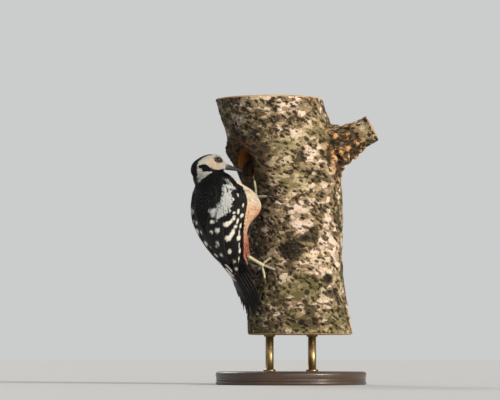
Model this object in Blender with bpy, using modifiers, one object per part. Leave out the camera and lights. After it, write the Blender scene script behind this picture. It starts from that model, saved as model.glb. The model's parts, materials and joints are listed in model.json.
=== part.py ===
"""Great spotted woodpecker clinging to a cut length of trunk, on a plain display stand.

A still, life-size model: one closed solid for each named sub-part, in metres with +Z up.
The origin is the centre of the stand's underside. X runs to the right and Y away from
someone who looks at the bird's right side, its back turned three quarters to them.
"""
import math

import bmesh
import bpy
from mathutils import Vector

# ---------------------------------------------------------------- driving dimensions
GAP = 0.0003                 # clear space between neighbouring solids

BASE_RADIUS = 0.092
BASE_HEIGHT = 0.016
BASE_BEVEL = 0.002
ROD_RADIUS = 0.005
ROD_SPREAD = 0.026           # each rod's distance from the base's centre
TRUNK_BOTTOM = 0.061
TRUNK_TOP = 0.350
TRUNK_SETBACK = 0.008        # the trunk stands this far back, so that the bird balances it
TRUNK_SIDES = 38
CROWDING = 32                # degrees by which the trunk's sides gather at the nest hole
ROWS_BELOW = 12              # rows of the trunk below, beside and above the nest hole
ROWS_BESIDE = 12
ROWS_ABOVE = 5

# The trunk's axis and radius at a few heights: it leans to the left above the bird.
#               height  axis x   radius
TRUNK_COURSE = [
    (0.061, 0.0098, 0.0634),
    (0.104, 0.0067, 0.0616),
    (0.165, 0.0049, 0.0586),
    (0.222, 0.0060, 0.0572),
    (0.256, -0.0024, 0.0620),
    (0.287, -0.0095, 0.0645),
    (0.350, -0.0256, 0.0653),
]

HOLE_ANGLE = 219.5           # where the nest hole faces, in degrees from +X towards +Y
HOLE_HEIGHT = 0.268
HOLE_HALF_WIDTH = 0.0155
HOLE_HALF_TALL = 0.0165
HOLE_DEPTH = 0.030
HOLE_LIP = 0.0065            # the callus round the hole stands this proud of the bark

BRANCH_ANGLE = -8.0          # the cut branch leaves the trunk on the right
BRANCH_HEIGHT = 0.292
BRANCH_RISE = 28.0           # degrees above level
BRANCH_RADIUS = 0.0165
BRANCH_FLARE = 0.0245
BRANCH_LENGTH = 0.046
BRANCH_SIDES = 18

# The bird's own directions: its back turns away from the trunk and towards the viewer.
FACING = math.radians(45)
DORSAL = Vector((-math.cos(FACING), -math.sin(FACING), 0))
RIGHT = Vector((math.sin(FACING), -math.cos(FACING), 0))
UP = Vector((0, 0, 1))
BODY_REACH = 0.1175          # from the trunk's axis to the middle of the body
BODY_MIDDLE = Vector((0.0062, TRUNK_SETBACK, 0)) + DORSAL * BODY_REACH

# Stations down the bird from the neck to the tail tip. "out" is the distance from
# BODY_MIDDLE towards the back, "lean" the tilt of the section in degrees; "back", "belly"
# and "side" are the half sizes and "vault" is how far the section's edges droop.
#     name       out      height  lean  back    belly   side    vault   swing
STATIONS = [
    ("crown",    0.0310, 0.2560,  0, 0.0120, 0.0115, 0.0120, 0.0000, 0.0000),
    ("throat",   0.0270, 0.2510,  0, 0.0200, 0.0205, 0.0210, 0.0000, 0.0000),
    ("nape",     0.0225, 0.2455,  0, 0.0235, 0.0240, 0.0245, 0.0000, 0.0000),
    ("shoulder", 0.0160, 0.2400,  0, 0.0255, 0.0265, 0.0270, 0.0000, 0.0000),
    ("breast",   0.0090, 0.2334,  0, 0.0305, 0.0335, 0.0320, 0.0000, 0.0000),
    ("chest",    0.0050, 0.2249,  0, 0.0350, 0.0390, 0.0362, 0.0000, 0.0000),
    ("belly",    0.0035, 0.2151,  0, 0.0375, 0.0432, 0.0380, 0.0000, 0.0000),
    ("flank",    0.0045, 0.2029,  3, 0.0368, 0.0395, 0.0362, 0.0000, 0.0000),
    ("loin",     0.0055, 0.1907,  8, 0.0325, 0.0255, 0.0322, 0.0000, 0.0000),
    ("rump",     0.0030, 0.1785, 16, 0.0265, 0.0190, 0.0280, 0.0000, 0.0000),
    ("vent",    -0.0010, 0.1660, 27, 0.0195, 0.0185, 0.0235, 0.0000, 0.0000),
    ("coverts", -0.0060, 0.1545, 36, 0.0125, 0.0150, 0.0195, 0.0010, -0.0005),
    ("tail",    -0.0140, 0.1425, 39, 0.0070, 0.0070, 0.0200, 0.0025, -0.0020),
    ("fan",     -0.0265, 0.1270, 39, 0.0038, 0.0030, 0.0222, 0.0040, -0.0050),
    ("lower",   -0.0378, 0.1140, 40, 0.0024, 0.0020, 0.0218, 0.0035, -0.0076),
    ("tips",    -0.0462, 0.1030, 37, 0.0018, 0.0015, 0.0200, 0.0024, -0.0100),
    ("points",  -0.0520, 0.0905, 28, 0.0012, 0.0010, 0.0150, 0.0012, -0.0126),
    ("end",     -0.0537, 0.0828, 20, 0.0008, 0.0008, 0.0075, 0.0003, -0.0138),
]
SQUARENESS = 2.3             # of the body's sections: 2 is an ellipse
BODY_SIDES = 32
NECK_CUT = 3.0               # the neck meets the body at this station
TAIL_CUT = 11.0              # the tail begins at this one

# The folded wing lies over the body between these stations, and between two angles
# from the middle of the back. Its feathers are this thick over the body below.
WING_START = 3.15
WING_END = 13.35
WING_DEPTH = 0.0042
WING_PROUD = 0.0009
WING_THIN = 0.0006
COVER_MARGIN = 8              # degrees past the wing's edge where the body begins to sink
COVER_RAMP = 24                # degrees over which it sinks to the full depth
#               station  upper edge  lower edge (degrees from the middle of the back)
WING_EDGES = [
    (3.15, 70, 98),
    (3.6, 52, 101),
    (4.5, 40, 95),
    (6.0, 33, 88),
    (7.5, 27, 89),
    (9.0, 20, 94),
    (10.5, 13, 94),
    (12.0, 8, 76),
    (13.0, 10, 56),
    (13.35, 18, 36),
]
WING_ROWS = 16
WING_COLUMNS = 8

# The head is turned to the bird's right, and cocked so that the crown leans away.
HEAD_OUT = 0.0292
HEAD_SWING = -0.0022
HEAD_HEIGHT = 0.2623
HEAD_YAW = math.radians(12)
HEAD_ROLL = math.radians(14)
#     forward   top      bottom   side
SKULL = [
    (-0.0216, -0.0032, -0.0088, 0.0030),
    (-0.0203, 0.0008, -0.0122, 0.0072),
    (-0.0165, 0.0048, -0.0146, 0.0108),
    (-0.0100, 0.0093, -0.0154, 0.0134),
    (-0.0020, 0.0123, -0.0148, 0.0144),
    (0.0055, 0.0130, -0.0130, 0.0140),
    (0.0115, 0.0121, -0.0108, 0.0122),
    (0.0158, 0.0094, -0.0090, 0.0096),
    (0.0180, 0.0058, -0.0078, 0.0074),
    (0.0192, 0.0026, -0.0062, 0.0052),
]
SKULL_SIDES = 20
SKULL_ROWS = 13

BILL_LENGTH = 0.0225
BILL_DIP = math.radians(14)  # the bill points this far below the head's own line
BILL_HEIGHT = -0.0016
BILL_HALF_WIDTH = 0.0044
BILL_RISE = 0.0040
BILL_DROP = 0.0036
BILL_SHORTER = 0.0012        # the lower bill ends this much before the upper
BILL_SIDES = 7               # points along each half bill's arch

EYE_RADIUS = 0.0034
EYE_FORWARD = 0.0096
EYE_UP = 0.0032
EYE_OUT = 0.0098             # the eyeball's centre, from the middle of the head

ANKLE_RIGHT = (-0.0275, 0.0075, 0.1545)      # out, swing and height
ANKLE_LEFT = (-0.0385, -0.0160, 0.2045)
TARSUS_RADIUS = 0.0021
ANKLE_RADIUS = 0.0023
PAD_RADIUS = 0.0033
PAD_LIFT = 0.0040
TOE_RADIUS = 0.0014
TOE_SIDES = 7
CLAW_RADIUS = 0.0010
CLAW_LENGTH = 0.0100

# Each foot: the angle round the trunk and the height of its pad, then its four toes as
# turn from straight up (degrees, positive towards the viewer's right) and length.
FOOT_RIGHT = (228.5, 0.1455, {"second": (52, 0.0135), "third": (110, 0.0185),
                              "fourth": (166, 0.0170), "first": (226, 0.0085)})
FOOT_LEFT = (218.0, 0.2285, {"second": (-46, 0.0130), "third": (24, 0.0200),
                             "fourth": (92, 0.0165), "first": (196, 0.0085)})

COLOURS = {                  # base colour, roughness
    "base": ((0.045, 0.040, 0.036), 0.45),
    "rod": ((0.32, 0.30, 0.26), 0.35),
    "bark": ((0.25, 0.20, 0.155), 0.90),
    "plumage_black": ((0.012, 0.012, 0.012), 0.45),
    "plumage_cream": ((0.60, 0.50, 0.38), 0.75),
    "plumage_buff": ((0.62, 0.42, 0.27), 0.80),
    "bill": ((0.045, 0.045, 0.050), 0.40),
    "eye": ((0.020, 0.010, 0.006), 0.08),
    "leg": ((0.36, 0.33, 0.24), 0.60),
    "claw": ((0.10, 0.095, 0.085), 0.35),
}

# ---------------------------------------------------------------- scene and helpers


def empty_scene():
    """Remove what the scene holds and make one collection for parts, one for cutters."""
    for thing in list(bpy.data.objects):
        bpy.data.objects.remove(thing, do_unlink=True)
    parts = bpy.data.collections.new("woodpecker")
    cutters = bpy.data.collections.new("cutters")
    bpy.context.scene.collection.children.link(parts)
    bpy.context.scene.collection.children.link(cutters)
    return parts, cutters


PARTS, CUTTERS = empty_scene()


def finish_material(slot):
    """The Principled material of one colour slot, made once."""
    if slot in bpy.data.materials:
        return bpy.data.materials[slot]
    colour, roughness = COLOURS[slot]
    material = bpy.data.materials.new(slot)
    material.use_nodes = True
    shader = material.node_tree.nodes["Principled BSDF"]
    shader.inputs["Base Color"].default_value = (*colour, 1)
    shader.inputs["Roughness"].default_value = roughness
    shader.inputs["Metallic"].default_value = 1.0 if slot == "rod" else 0.0
    return material


def add_mesh(name, mesh_data, slot):
    """Make an object of a bmesh; a part has a material slot, a cutter has none."""
    bmesh.ops.recalc_face_normals(mesh_data, faces=mesh_data.faces)
    mesh = bpy.data.meshes.new(name)
    mesh_data.to_mesh(mesh)
    mesh_data.free()
    thing = bpy.data.objects.new(name, mesh)
    if slot is None:
        CUTTERS.objects.link(thing)
        thing.hide_render = True
        thing.display_type = "WIRE"
    else:
        PARTS.objects.link(thing)
        mesh.materials.append(finish_material(slot))
    return thing


def loft(name, rings, slot):
    """A closed solid through rings of equal length, with a flat fan on each end."""
    solid = bmesh.new()
    loops = [[solid.verts.new(point) for point in ring] for ring in rings]
    count = len(loops[0])
    for lower, upper in zip(loops, loops[1:]):
        for i in range(count):
            j = (i + 1) % count
            solid.faces.new((lower[i], lower[j], upper[j], upper[i]))
    for loop in (loops[0], loops[-1]):
        middle = solid.verts.new(sum((vert.co for vert in loop), Vector()) / count)
        for i in range(count):
            solid.faces.new((loop[i], loop[(i + 1) % count], middle))
    return add_mesh(name, solid, slot)


def cut(thing, cutter, operation="DIFFERENCE"):
    """Boolean one object with another."""
    modifier = thing.modifiers.new(cutter.name, "BOOLEAN")
    modifier.operation = operation
    modifier.solver = "EXACT"
    modifier.object = cutter


def curve_value(table, position, column):
    """A smooth value between a table's rows, whose first column is the position."""
    last = len(table) - 1
    row = 0
    while row < last - 1 and position > table[row + 1][0]:
        row += 1
    start, end = table[row], table[row + 1]
    before, after = table[max(row - 1, 0)], table[min(row + 2, last)]
    span = end[0] - start[0]
    x = min(max((position - start[0]) / span, 0), 1)
    slope_in = (end[column] - before[column]) / (end[0] - before[0]) * span
    slope_out = (after[column] - start[column]) / (after[0] - start[0]) * span
    step = end[column] - start[column]
    return (start[column] + slope_in * x + (3 * step - 2 * slope_in - slope_out) * x * x
            + (slope_in + slope_out - 2 * step) * x ** 3)


def bump(distance, width):
    """A soft hump: 1 at no distance, and near 0 past twice the width."""
    return math.exp(-(distance / width) ** 2)


def steps(start, end, count):
    """Evenly spaced values from start to end, with both."""
    return [start + (end - start) * i / (count - 1) for i in range(count)]


# ---------------------------------------------------------------- the perch and its stand


def arc_offset(angle, other, radius):
    """The length round the trunk between two angles in degrees."""
    return math.radians((angle - other + 180) % 360 - 180) * radius


def bark_radius(angle, height):
    """The trunk's radius, with its slow swells, the hole's callus and the branch collar."""
    radius = curve_value(TRUNK_COURSE, height, 2)
    turn = math.radians(angle)
    swell = 0.0011 * math.sin(3 * turn + 31 * height) + 0.0008 * math.sin(5 * turn - 57 * height)
    from_hole = math.hypot(arc_offset(angle, HOLE_ANGLE, radius), height - HOLE_HEIGHT)
    lip = HOLE_LIP * bump(from_hole - 0.021, 0.0085)
    low_side = min(max((HOLE_HEIGHT - height) / 0.02, 0), 1)
    from_branch = math.hypot(arc_offset(angle, BRANCH_ANGLE, radius),
                             0.75 * (height - BRANCH_HEIGHT))
    collar = 0.0045 * bump(from_branch, 0.026)
    return radius + swell + lip * (1 - 0.75 * low_side) + collar


def on_bark(angle, height, lift):
    """A point over the bark, by its angle round the trunk, its height and its lift."""
    turn = math.radians(angle)
    reach = bark_radius(angle, height) + lift
    return Vector((curve_value(TRUNK_COURSE, height, 1) + reach * math.cos(turn),
                   TRUNK_SETBACK + reach * math.sin(turn), height))


def cylinder(name, radius, bottom, top, centre, sides, slot):
    """An upright cylinder between two heights."""
    solid = bmesh.new()
    bmesh.ops.create_cone(solid, cap_ends=True, segments=sides, radius1=radius,
                          radius2=radius, depth=top - bottom)
    place = Vector((*centre, (top + bottom) / 2))
    bmesh.ops.translate(solid, verts=solid.verts, vec=place)
    return add_mesh(name, solid, slot)


def make_stand():
    """A flat round base and two short rods that carry the trunk."""
    base = cylinder("stand_base", BASE_RADIUS, 0, BASE_HEIGHT, (0, 0), 40, "base")
    bevel = base.modifiers.new("edge", "BEVEL")
    bevel.width = BASE_BEVEL
    bevel.segments = 1
    bevel.limit_method = "ANGLE"
    for name, place in (("stand_rod_left", -ROD_SPREAD), ("stand_rod_right", ROD_SPREAD)):
        cylinder(name, ROD_RADIUS, BASE_HEIGHT + GAP, TRUNK_BOTTOM - GAP,
                 (place, TRUNK_SETBACK), 16, "rod")


def make_trunk():
    """The cut length of trunk, with its nest hole."""
    angles = []
    for i in range(TRUNK_SIDES):
        turn = 2 * math.pi * i / TRUNK_SIDES
        angles.append(HOLE_ANGLE + math.degrees(turn) - CROWDING * math.sin(turn))
    low, high = HOLE_HEIGHT - 0.028, HOLE_HEIGHT + 0.028
    heights = (steps(TRUNK_BOTTOM, low, ROWS_BELOW) + steps(low, high, ROWS_BESIDE)[1:]
               + steps(high, TRUNK_TOP, ROWS_ABOVE)[1:])
    rings = [[on_bark(angle, height, 0) for angle in angles] for height in heights]
    trunk = loft("perch_trunk", rings, "bark")
    cut(trunk, nest_hole())


def nest_hole():
    """A blind round hollow, driven in towards the trunk's axis and rounded at its end."""
    turn = math.radians(HOLE_ANGLE)
    inward = Vector((-math.cos(turn), -math.sin(turn), 0))
    across = Vector((-math.sin(turn), math.cos(turn), 0))
    mouth = on_bark(HOLE_ANGLE, HOLE_HEIGHT, 0)
    profile = [(-0.020, 1.25), (0.000, 1.05), (0.010, 0.98), (0.020, 0.88),
               (0.026, 0.62), (HOLE_DEPTH, 0.20)]
    rings = []
    for depth, share in profile:
        centre = mouth + inward * depth
        rings.append([centre + across * (share * HOLE_HALF_WIDTH * math.cos(a))
                      + UP * (share * HOLE_HALF_TALL * math.sin(a))
                      for a in steps(0, 2 * math.pi * 23 / 24, 24)])
    return loft("hole_cutter", rings, None)


def make_branch():
    """The stub of a branch: it starts on the bark, flares and ends in a saw cut."""
    turn = math.radians(BRANCH_ANGLE)
    rise = math.radians(BRANCH_RISE)
    outward = Vector((math.cos(turn), math.sin(turn), 0))
    axis = outward * math.cos(rise) + UP * math.sin(rise)
    across = Vector((-math.sin(turn), math.cos(turn), 0))
    upward = axis.cross(across)
    root = on_bark(BRANCH_ANGLE, BRANCH_HEIGHT, 0)
    angles = steps(0, 2 * math.pi * (BRANCH_SIDES - 1) / BRANCH_SIDES, BRANCH_SIDES)
    around = curve_value(TRUNK_COURSE, BRANCH_HEIGHT, 2)
    rings = []
    for share in (0.06, 0.4, 0.72, 1.0):
        reach = share * BRANCH_FLARE
        rings.append([on_bark(BRANCH_ANGLE + math.degrees(reach * math.cos(a) / around),
                              BRANCH_HEIGHT + 1.1 * reach * math.sin(a), GAP)
                      for a in angles])
    for share in (0.28, 0.45, 0.65, 0.85, 1.0):
        radius = BRANCH_RADIUS + (BRANCH_FLARE - BRANCH_RADIUS) * (1 - share) ** 2
        centre = root + axis * (share * BRANCH_LENGTH)
        rings.append([centre + across * (radius * math.cos(a)) + upward * (radius * math.sin(a))
                      for a in angles])
    loft("perch_branch", rings, "bark")


# ---------------------------------------------------------------- the bird's form


def bird_point(out, swing, height):
    """A place by its distance towards the back, to the bird's right, and its height."""
    return BODY_MIDDLE + DORSAL * out + RIGHT * swing + UP * height


NUMBERED = [(i, *station[1:]) for i, station in enumerate(STATIONS)]


def station_value(station, column):
    """A smooth value of the table of stations at a whole or part station."""
    return curve_value(NUMBERED, station, column)


def wing_cover(station, angle):
    """How fully the folded wing covers the body here: 0 outside it, 1 well inside."""
    upper = curve_value(WING_EDGES, station, 1)
    lower = curve_value(WING_EDGES, station, 2)
    edge = (min(angle - upper, lower - angle) + COVER_MARGIN) / COVER_RAMP
    ends = (min(station - WING_START, WING_END - station) + 0.25) / 0.6
    return min(max(min(edge, ends), 0), 1)


def form_point(station, angle, grow=0, sunk=False):
    """A point of the bird's outer form. The angle is from the middle of the back, and is
    positive to the bird's right; a sunk point lies under the wing where there is one."""
    out, height, lean, back, belly, side, vault, swing = (
        station_value(station, column) for column in range(1, 9))
    turn = math.radians(angle)
    power = 2 / SQUARENESS
    cosine, sine = math.cos(turn), math.sin(turn)
    depth = (back if cosine > 0 else belly) * math.copysign(abs(cosine) ** power, cosine)
    width = side * math.copysign(abs(sine) ** power, sine)
    reach = math.hypot(depth, width)
    change = grow - (WING_DEPTH * wing_cover(station, abs(angle)) if sunk else 0)
    thin = min(1, 0.45 * (back + belly) / WING_DEPTH) if sunk else 1
    scale = 1 + change * thin / reach
    tilt = math.radians(lean)
    upright = DORSAL * math.cos(tilt) - UP * math.sin(tilt)
    droop = vault * (width / side) ** 2
    return (bird_point(out, swing, height) + upright * (depth * scale - droop)
            + RIGHT * (width * scale))


def form_ring(station, sides, grow=0, sunk=False):
    """One ring of the form, from the middle of the back round by the right."""
    angles = [360 * (i + 0.5) / sides - 180 for i in range(sides)]
    return [form_point(station, angle, grow, sunk) for angle in angles]


def station_step(station):
    """The part of a station that a clear space of GAP takes up here."""
    here = form_point(station, 90)
    there = form_point(station + 0.01, 90)
    return GAP / ((there - here).length / 0.01)


HEAD_MIDDLE = bird_point(HEAD_OUT, HEAD_SWING, HEAD_HEIGHT)
HEAD_FORWARD = Vector((math.cos(HEAD_YAW), math.sin(HEAD_YAW), 0))
LEVEL_RIGHT = HEAD_FORWARD.cross(UP).normalized()
LEVEL_UP = LEVEL_RIGHT.cross(HEAD_FORWARD)
HEAD_UP = LEVEL_UP * math.cos(HEAD_ROLL) - LEVEL_RIGHT * math.sin(HEAD_ROLL)
HEAD_RIGHT = LEVEL_RIGHT * math.cos(HEAD_ROLL) + LEVEL_UP * math.sin(HEAD_ROLL)


def head_point(forward, side, up):
    """A place by the head's own directions."""
    return HEAD_MIDDLE + HEAD_FORWARD * forward + HEAD_RIGHT * side + HEAD_UP * up


def skull_rings():
    """Rings of the head from the nape to the root of the bill."""
    first, last = SKULL[0][0], SKULL[-1][0]
    rings = []
    for i in range(SKULL_ROWS):
        share = 0.5 - 0.5 * math.cos(math.pi * i / (SKULL_ROWS - 1))
        forward = first + (last - first) * (0.6 * share + 0.4 * i / (SKULL_ROWS - 1))
        top, bottom, side = (curve_value(SKULL, forward, column) for column in (1, 2, 3))
        ring = []
        for k in range(SKULL_SIDES):
            turn = 2 * math.pi * k / SKULL_SIDES
            height = (top + bottom) / 2 + (top - bottom) / 2 * math.cos(turn)
            ring.append(head_point(forward, side * math.sin(turn), height))
        rings.append(ring)
    return rings


def slab(name, point, normal, length=0.12):
    """A big block on the far side of a plane, to cut with."""
    solid = bmesh.new()
    bmesh.ops.create_cube(solid, size=length)
    turn = normal.to_track_quat("Z", "Y").to_matrix()
    bmesh.ops.rotate(solid, cent=(0, 0, 0), matrix=turn, verts=solid.verts)
    bmesh.ops.translate(solid, verts=solid.verts, vec=point + normal * (length / 2))
    return add_mesh(name, solid, None)


def make_head_and_neck():
    """Head and neck are one form, parted by a thin cut from the nape to the throat."""
    low = NECK_CUT - station_step(NECK_CUT)
    rows = [form_ring(station, BODY_SIDES) for station in steps(0, low, 7)]
    skull = loft("skull_form", skull_rings(), None)
    plane = head_point(0, 0, -0.0105)
    normal = (HEAD_UP * 0.97 - HEAD_FORWARD * 0.16).normalized()
    below = slab("below_head", plane + normal * (GAP / 2), -normal)
    above = slab("above_neck", plane - normal * (GAP / 2), normal)
    neck = loft("neck", rows, "plumage_black")
    cut(neck, skull, "UNION")
    cut(neck, above)
    head = loft("head", rows, "plumage_cream")
    cut(head, skull, "UNION")
    cut(head, below)
    for name, sign in (("socket_right", 1), ("socket_left", -1)):
        cut(head, eyeball(name, sign, EYE_RADIUS + GAP, None))
    for name, sign in (("eye_right", 1), ("eye_left", -1)):
        eyeball(name, sign, EYE_RADIUS, "eye")


def eyeball(name, sign, radius, slot):
    """An eye, or the socket that it sits in."""
    solid = bmesh.new()
    bmesh.ops.create_uvsphere(solid, u_segments=12, v_segments=8, radius=radius)
    centre = head_point(EYE_FORWARD, sign * EYE_OUT, EYE_UP)
    bmesh.ops.translate(solid, verts=solid.verts, vec=centre)
    return add_mesh(name, solid, slot)


def make_bill():
    """Upper and lower bill: straight, ridged and ending in a narrow chisel."""
    root = SKULL[-1][0] + GAP
    for name, sign, length, tall in (("bill_upper", 1, BILL_LENGTH, BILL_RISE),
                                     ("bill_lower", -1, BILL_LENGTH - BILL_SHORTER, BILL_DROP)):
        rings = []
        for share in (0, 0.12, 0.3, 0.5, 0.7, 0.86, 0.96, 1.0):
            wide = BILL_HALF_WIDTH * (1 - 0.80 * share ** 0.85)
            high = tall * (1 - 0.84 * share ** (1.25 if sign > 0 else 1.0))
            arch = []
            for a in steps(0, math.pi, BILL_SIDES):
                along = length * share
                rise = sign * (GAP / 2 + high * max(math.sin(a), 0) ** 0.9)
                dipped = rise * math.cos(BILL_DIP) - along * math.sin(BILL_DIP)
                ahead = along * math.cos(BILL_DIP) + rise * math.sin(BILL_DIP) * share
                arch.append(head_point(root + ahead, wide * math.cos(a), BILL_HEIGHT + dipped))
            rings.append(arch)
        loft(name, rings, "bill")


def make_body_and_tail():
    """The body from neck to vent, and the tail with its coverts."""
    top = NECK_CUT
    bottom = TAIL_CUT - station_step(TAIL_CUT)
    loft("body", [form_ring(station, BODY_SIDES, sunk=True)
                  for station in steps(top, bottom, 21)], "plumage_buff")
    last = len(STATIONS) - 1
    rings = [form_ring(station, 20, sunk=True) for station in steps(TAIL_CUT, last, 15)]
    loft("tail", rings, "plumage_black")


def make_wing(name, sign):
    """A folded wing: a patch over the body, from the shoulder to the tip of its primaries."""
    over, under = [], []
    for row in steps(0, 1, WING_ROWS):
        station = WING_START + (WING_END - WING_START) * (0.5 - 0.5 * math.cos(math.pi * row))
        station = 0.5 * station + 0.5 * (WING_START + (WING_END - WING_START) * row)
        upper = curve_value(WING_EDGES, station, 1)
        lower = curve_value(WING_EDGES, station, 2)
        over.append([])
        under.append([])
        for column in steps(0, 1, WING_COLUMNS):
            angle = upper + (lower - upper) * column
            over[-1].append(form_point(station, sign * angle, WING_PROUD + WING_THIN))
            under[-1].append(form_point(station, sign * angle, WING_PROUD, sunk=True))
    solid = bmesh.new()
    top = [[solid.verts.new(point) for point in row] for row in over]
    bottom = [[solid.verts.new(point) for point in row] for row in under]
    for sheet in (top, bottom):
        for first, second in zip(sheet, sheet[1:]):
            for i in range(WING_COLUMNS - 1):
                solid.faces.new((first[i], first[i + 1], second[i + 1], second[i]))
    rim = [(row, 0) for row in range(WING_ROWS)]
    rim += [(WING_ROWS - 1, column) for column in range(1, WING_COLUMNS)]
    rim += [(row, WING_COLUMNS - 1) for row in range(WING_ROWS - 2, -1, -1)]
    rim += [(0, column) for column in range(WING_COLUMNS - 2, 0, -1)]
    for (r1, c1), (r2, c2) in zip(rim, rim[1:] + rim[:1]):
        solid.faces.new((top[r1][c1], top[r2][c2], bottom[r2][c2], bottom[r1][c1]))
    add_mesh(name, solid, "plumage_black")


# ---------------------------------------------------------------- legs and feet


def tube_rings(path, radii, sides, flat=1.0):
    """Rings round a path of points. The flat share thins them along their second axis."""
    rings = []
    for i, point in enumerate(path):
        ahead = path[min(i + 1, len(path) - 1)] - path[max(i - 1, 0)]
        across = ahead.cross(UP)
        if across.length < 1e-6:
            across = Vector((1, 0, 0))
        across.normalize()
        over = across.cross(ahead).normalized()
        rings.append([point + across * (radii[i] * math.cos(a))
                      + over * (radii[i] * flat * math.sin(a))
                      for a in steps(0, 2 * math.pi * (sides - 1) / sides, sides)])
    return rings


def make_thigh(name, hip, ankle):
    """The feathered lower thigh, from inside the belly's outline to the ankle."""
    start, end = bird_point(*hip), bird_point(*ankle)
    radii = (0.0105, 0.0100, 0.0085, 0.0062, 0.0042, 0.0030)
    path = [start.lerp(end, share) for share in steps(0, 0.93, len(radii))]
    thigh = loft(name, tube_rings(path, radii, 16), "plumage_cream")
    top, bottom = NECK_CUT + 1, TAIL_CUT + 2
    clear = [form_ring(station, BODY_SIDES, grow=GAP) for station in steps(top, bottom, 25)]
    cut(thigh, loft(name + "_clearance", clear, None))


def make_leg(side, ankle, foot):
    """Tarsus with its pad, then four toes with claws, set on the bark."""
    angle, height, toes = foot
    heel = bird_point(*ankle)
    pad = on_bark(angle, height, PAD_LIFT)
    shares = (0, 0.08, 0.2, 0.5, 0.8, 0.92, 1.0)
    radii = (0.0018, ANKLE_RADIUS, 0.0024, TARSUS_RADIUS, 0.0021, 0.0025, PAD_RADIUS * 0.75)
    path = [heel.lerp(pad, share) for share in shares]
    loft("tarsus_" + side, tube_rings(path, radii, 10, 0.86), "leg")
    for toe, (turn, length) in toes.items():
        make_toe(f"toe_{side}_{toe}", f"claw_{side}_{toe}", angle, height, turn, length)


def bark_walk(angle, height, turn, distance, lift):
    """A point over the bark at a distance from a start, in a direction over its surface."""
    radius = bark_radius(angle, height)
    heading = math.radians(turn)
    return on_bark(angle + math.degrees(distance * math.sin(heading) / radius),
                   height + distance * math.cos(heading), lift)


def make_toe(toe_name, claw_name, angle, height, turn, length):
    """One toe along the bark and the hooked claw at its end."""
    start = PAD_RADIUS * 0.75 + 0.0009
    reach = [start + (length - start) * share for share in (0, 0.2, 0.42, 0.62, 0.84, 1.0)]
    swell = (0.92, 1.05, 0.90, 1.02, 0.88, 0.80)
    lifts = (0.0034, 0.0029, 0.0024, 0.0022, 0.0022, 0.0023)
    path = [bark_walk(angle, height, turn, distance, lift)
            for distance, lift in zip(reach, lifts)]
    loft(toe_name, tube_rings(path, [TOE_RADIUS * s for s in swell], TOE_SIDES), "leg")
    claw_path, claw_radii = [], []
    for share in (0, 0.2, 0.4, 0.6, 0.8, 1.0):
        bend = math.radians(105) * share
        along = 0.62 * CLAW_LENGTH * math.sin(bend)
        rise = 0.0023 + 0.0009 * math.sin(math.pi * share) - 0.0014 * share ** 2
        claw_path.append(bark_walk(angle, height, turn, length + GAP + along, rise))
        claw_radii.append(CLAW_RADIUS * (1 - 0.78 * share))
    claw_path[-1] = bark_walk(angle, height, turn, length + 0.64 * CLAW_LENGTH, 0.0006)
    loft(claw_name, tube_rings(claw_path, claw_radii, 5), "claw")


def make_woodpecker():
    """Every sub-part, from the stand up."""
    make_stand()
    make_trunk()
    make_branch()
    make_head_and_neck()
    make_bill()
    make_body_and_tail()
    make_wing("wing_right", 1)
    make_wing("wing_left", -1)
    make_thigh("thigh_right", (-0.007, 0.010, 0.180), ANKLE_RIGHT)
    make_thigh("thigh_left", (-0.018, -0.017, 0.190), ANKLE_LEFT)
    make_leg("right", ANKLE_RIGHT, FOOT_RIGHT)
    make_leg("left", ANKLE_LEFT, FOOT_LEFT)


make_woodpecker()
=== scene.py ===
# %% [markdown]
# # A great spotted woodpecker on its nest tree
#
# The object is a life-size museum model: a female great spotted woodpecker that clings
# below its nest hole, on a short cut length of trunk, held up by a plain turned stand.
# The solids were made beforehand and arrive as a fixed frame. This script dresses them:
# one skin under a coat of feathers, wing and tail feathers made one by one, rough bark,
# horn, scaled feet, and a room to look at them in.
# Everything is in metres, with Z up, in the frame's own place.

# %% The frame and what the lesson needs
import json
import math

import bmesh
import bpy
import numpy as np
from mathutils import Matrix, Vector, noise
from mathutils.bvhtree import BVHTree

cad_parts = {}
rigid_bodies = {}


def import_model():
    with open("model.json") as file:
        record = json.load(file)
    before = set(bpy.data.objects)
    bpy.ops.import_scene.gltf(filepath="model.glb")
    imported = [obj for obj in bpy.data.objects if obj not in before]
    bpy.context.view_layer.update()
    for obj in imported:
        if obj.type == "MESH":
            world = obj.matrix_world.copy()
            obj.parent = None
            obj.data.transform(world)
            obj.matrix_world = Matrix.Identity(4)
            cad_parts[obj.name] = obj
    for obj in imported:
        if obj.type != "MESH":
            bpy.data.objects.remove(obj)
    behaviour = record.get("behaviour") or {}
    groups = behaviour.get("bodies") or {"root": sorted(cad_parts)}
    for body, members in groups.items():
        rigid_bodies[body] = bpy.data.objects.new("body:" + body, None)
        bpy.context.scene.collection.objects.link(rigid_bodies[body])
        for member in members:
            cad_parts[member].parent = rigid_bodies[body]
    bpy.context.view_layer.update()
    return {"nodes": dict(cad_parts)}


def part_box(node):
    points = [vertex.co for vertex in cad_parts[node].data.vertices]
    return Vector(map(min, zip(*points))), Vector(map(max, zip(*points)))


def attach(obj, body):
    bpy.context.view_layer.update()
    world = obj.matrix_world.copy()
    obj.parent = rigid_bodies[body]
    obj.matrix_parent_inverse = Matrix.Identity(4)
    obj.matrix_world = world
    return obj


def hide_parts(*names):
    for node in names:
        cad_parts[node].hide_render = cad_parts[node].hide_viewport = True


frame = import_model()
MM = 0.001
UP = Vector((0, 0, 1))
print("nodes in the frame:", len(frame["nodes"]))

# %% [markdown]
# ## A small language for finishes
# A finish is a node material. Writing every Math node out by hand hides the idea, so a
# Wire wraps an output socket and takes part in ordinary sums: `1 - mask * 0.4` adds the
# nodes it needs. Colours don't go through Math nodes, which would turn them grey: they
# are mixed by `blend`. All other nodes come from the one method `add`.


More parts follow.
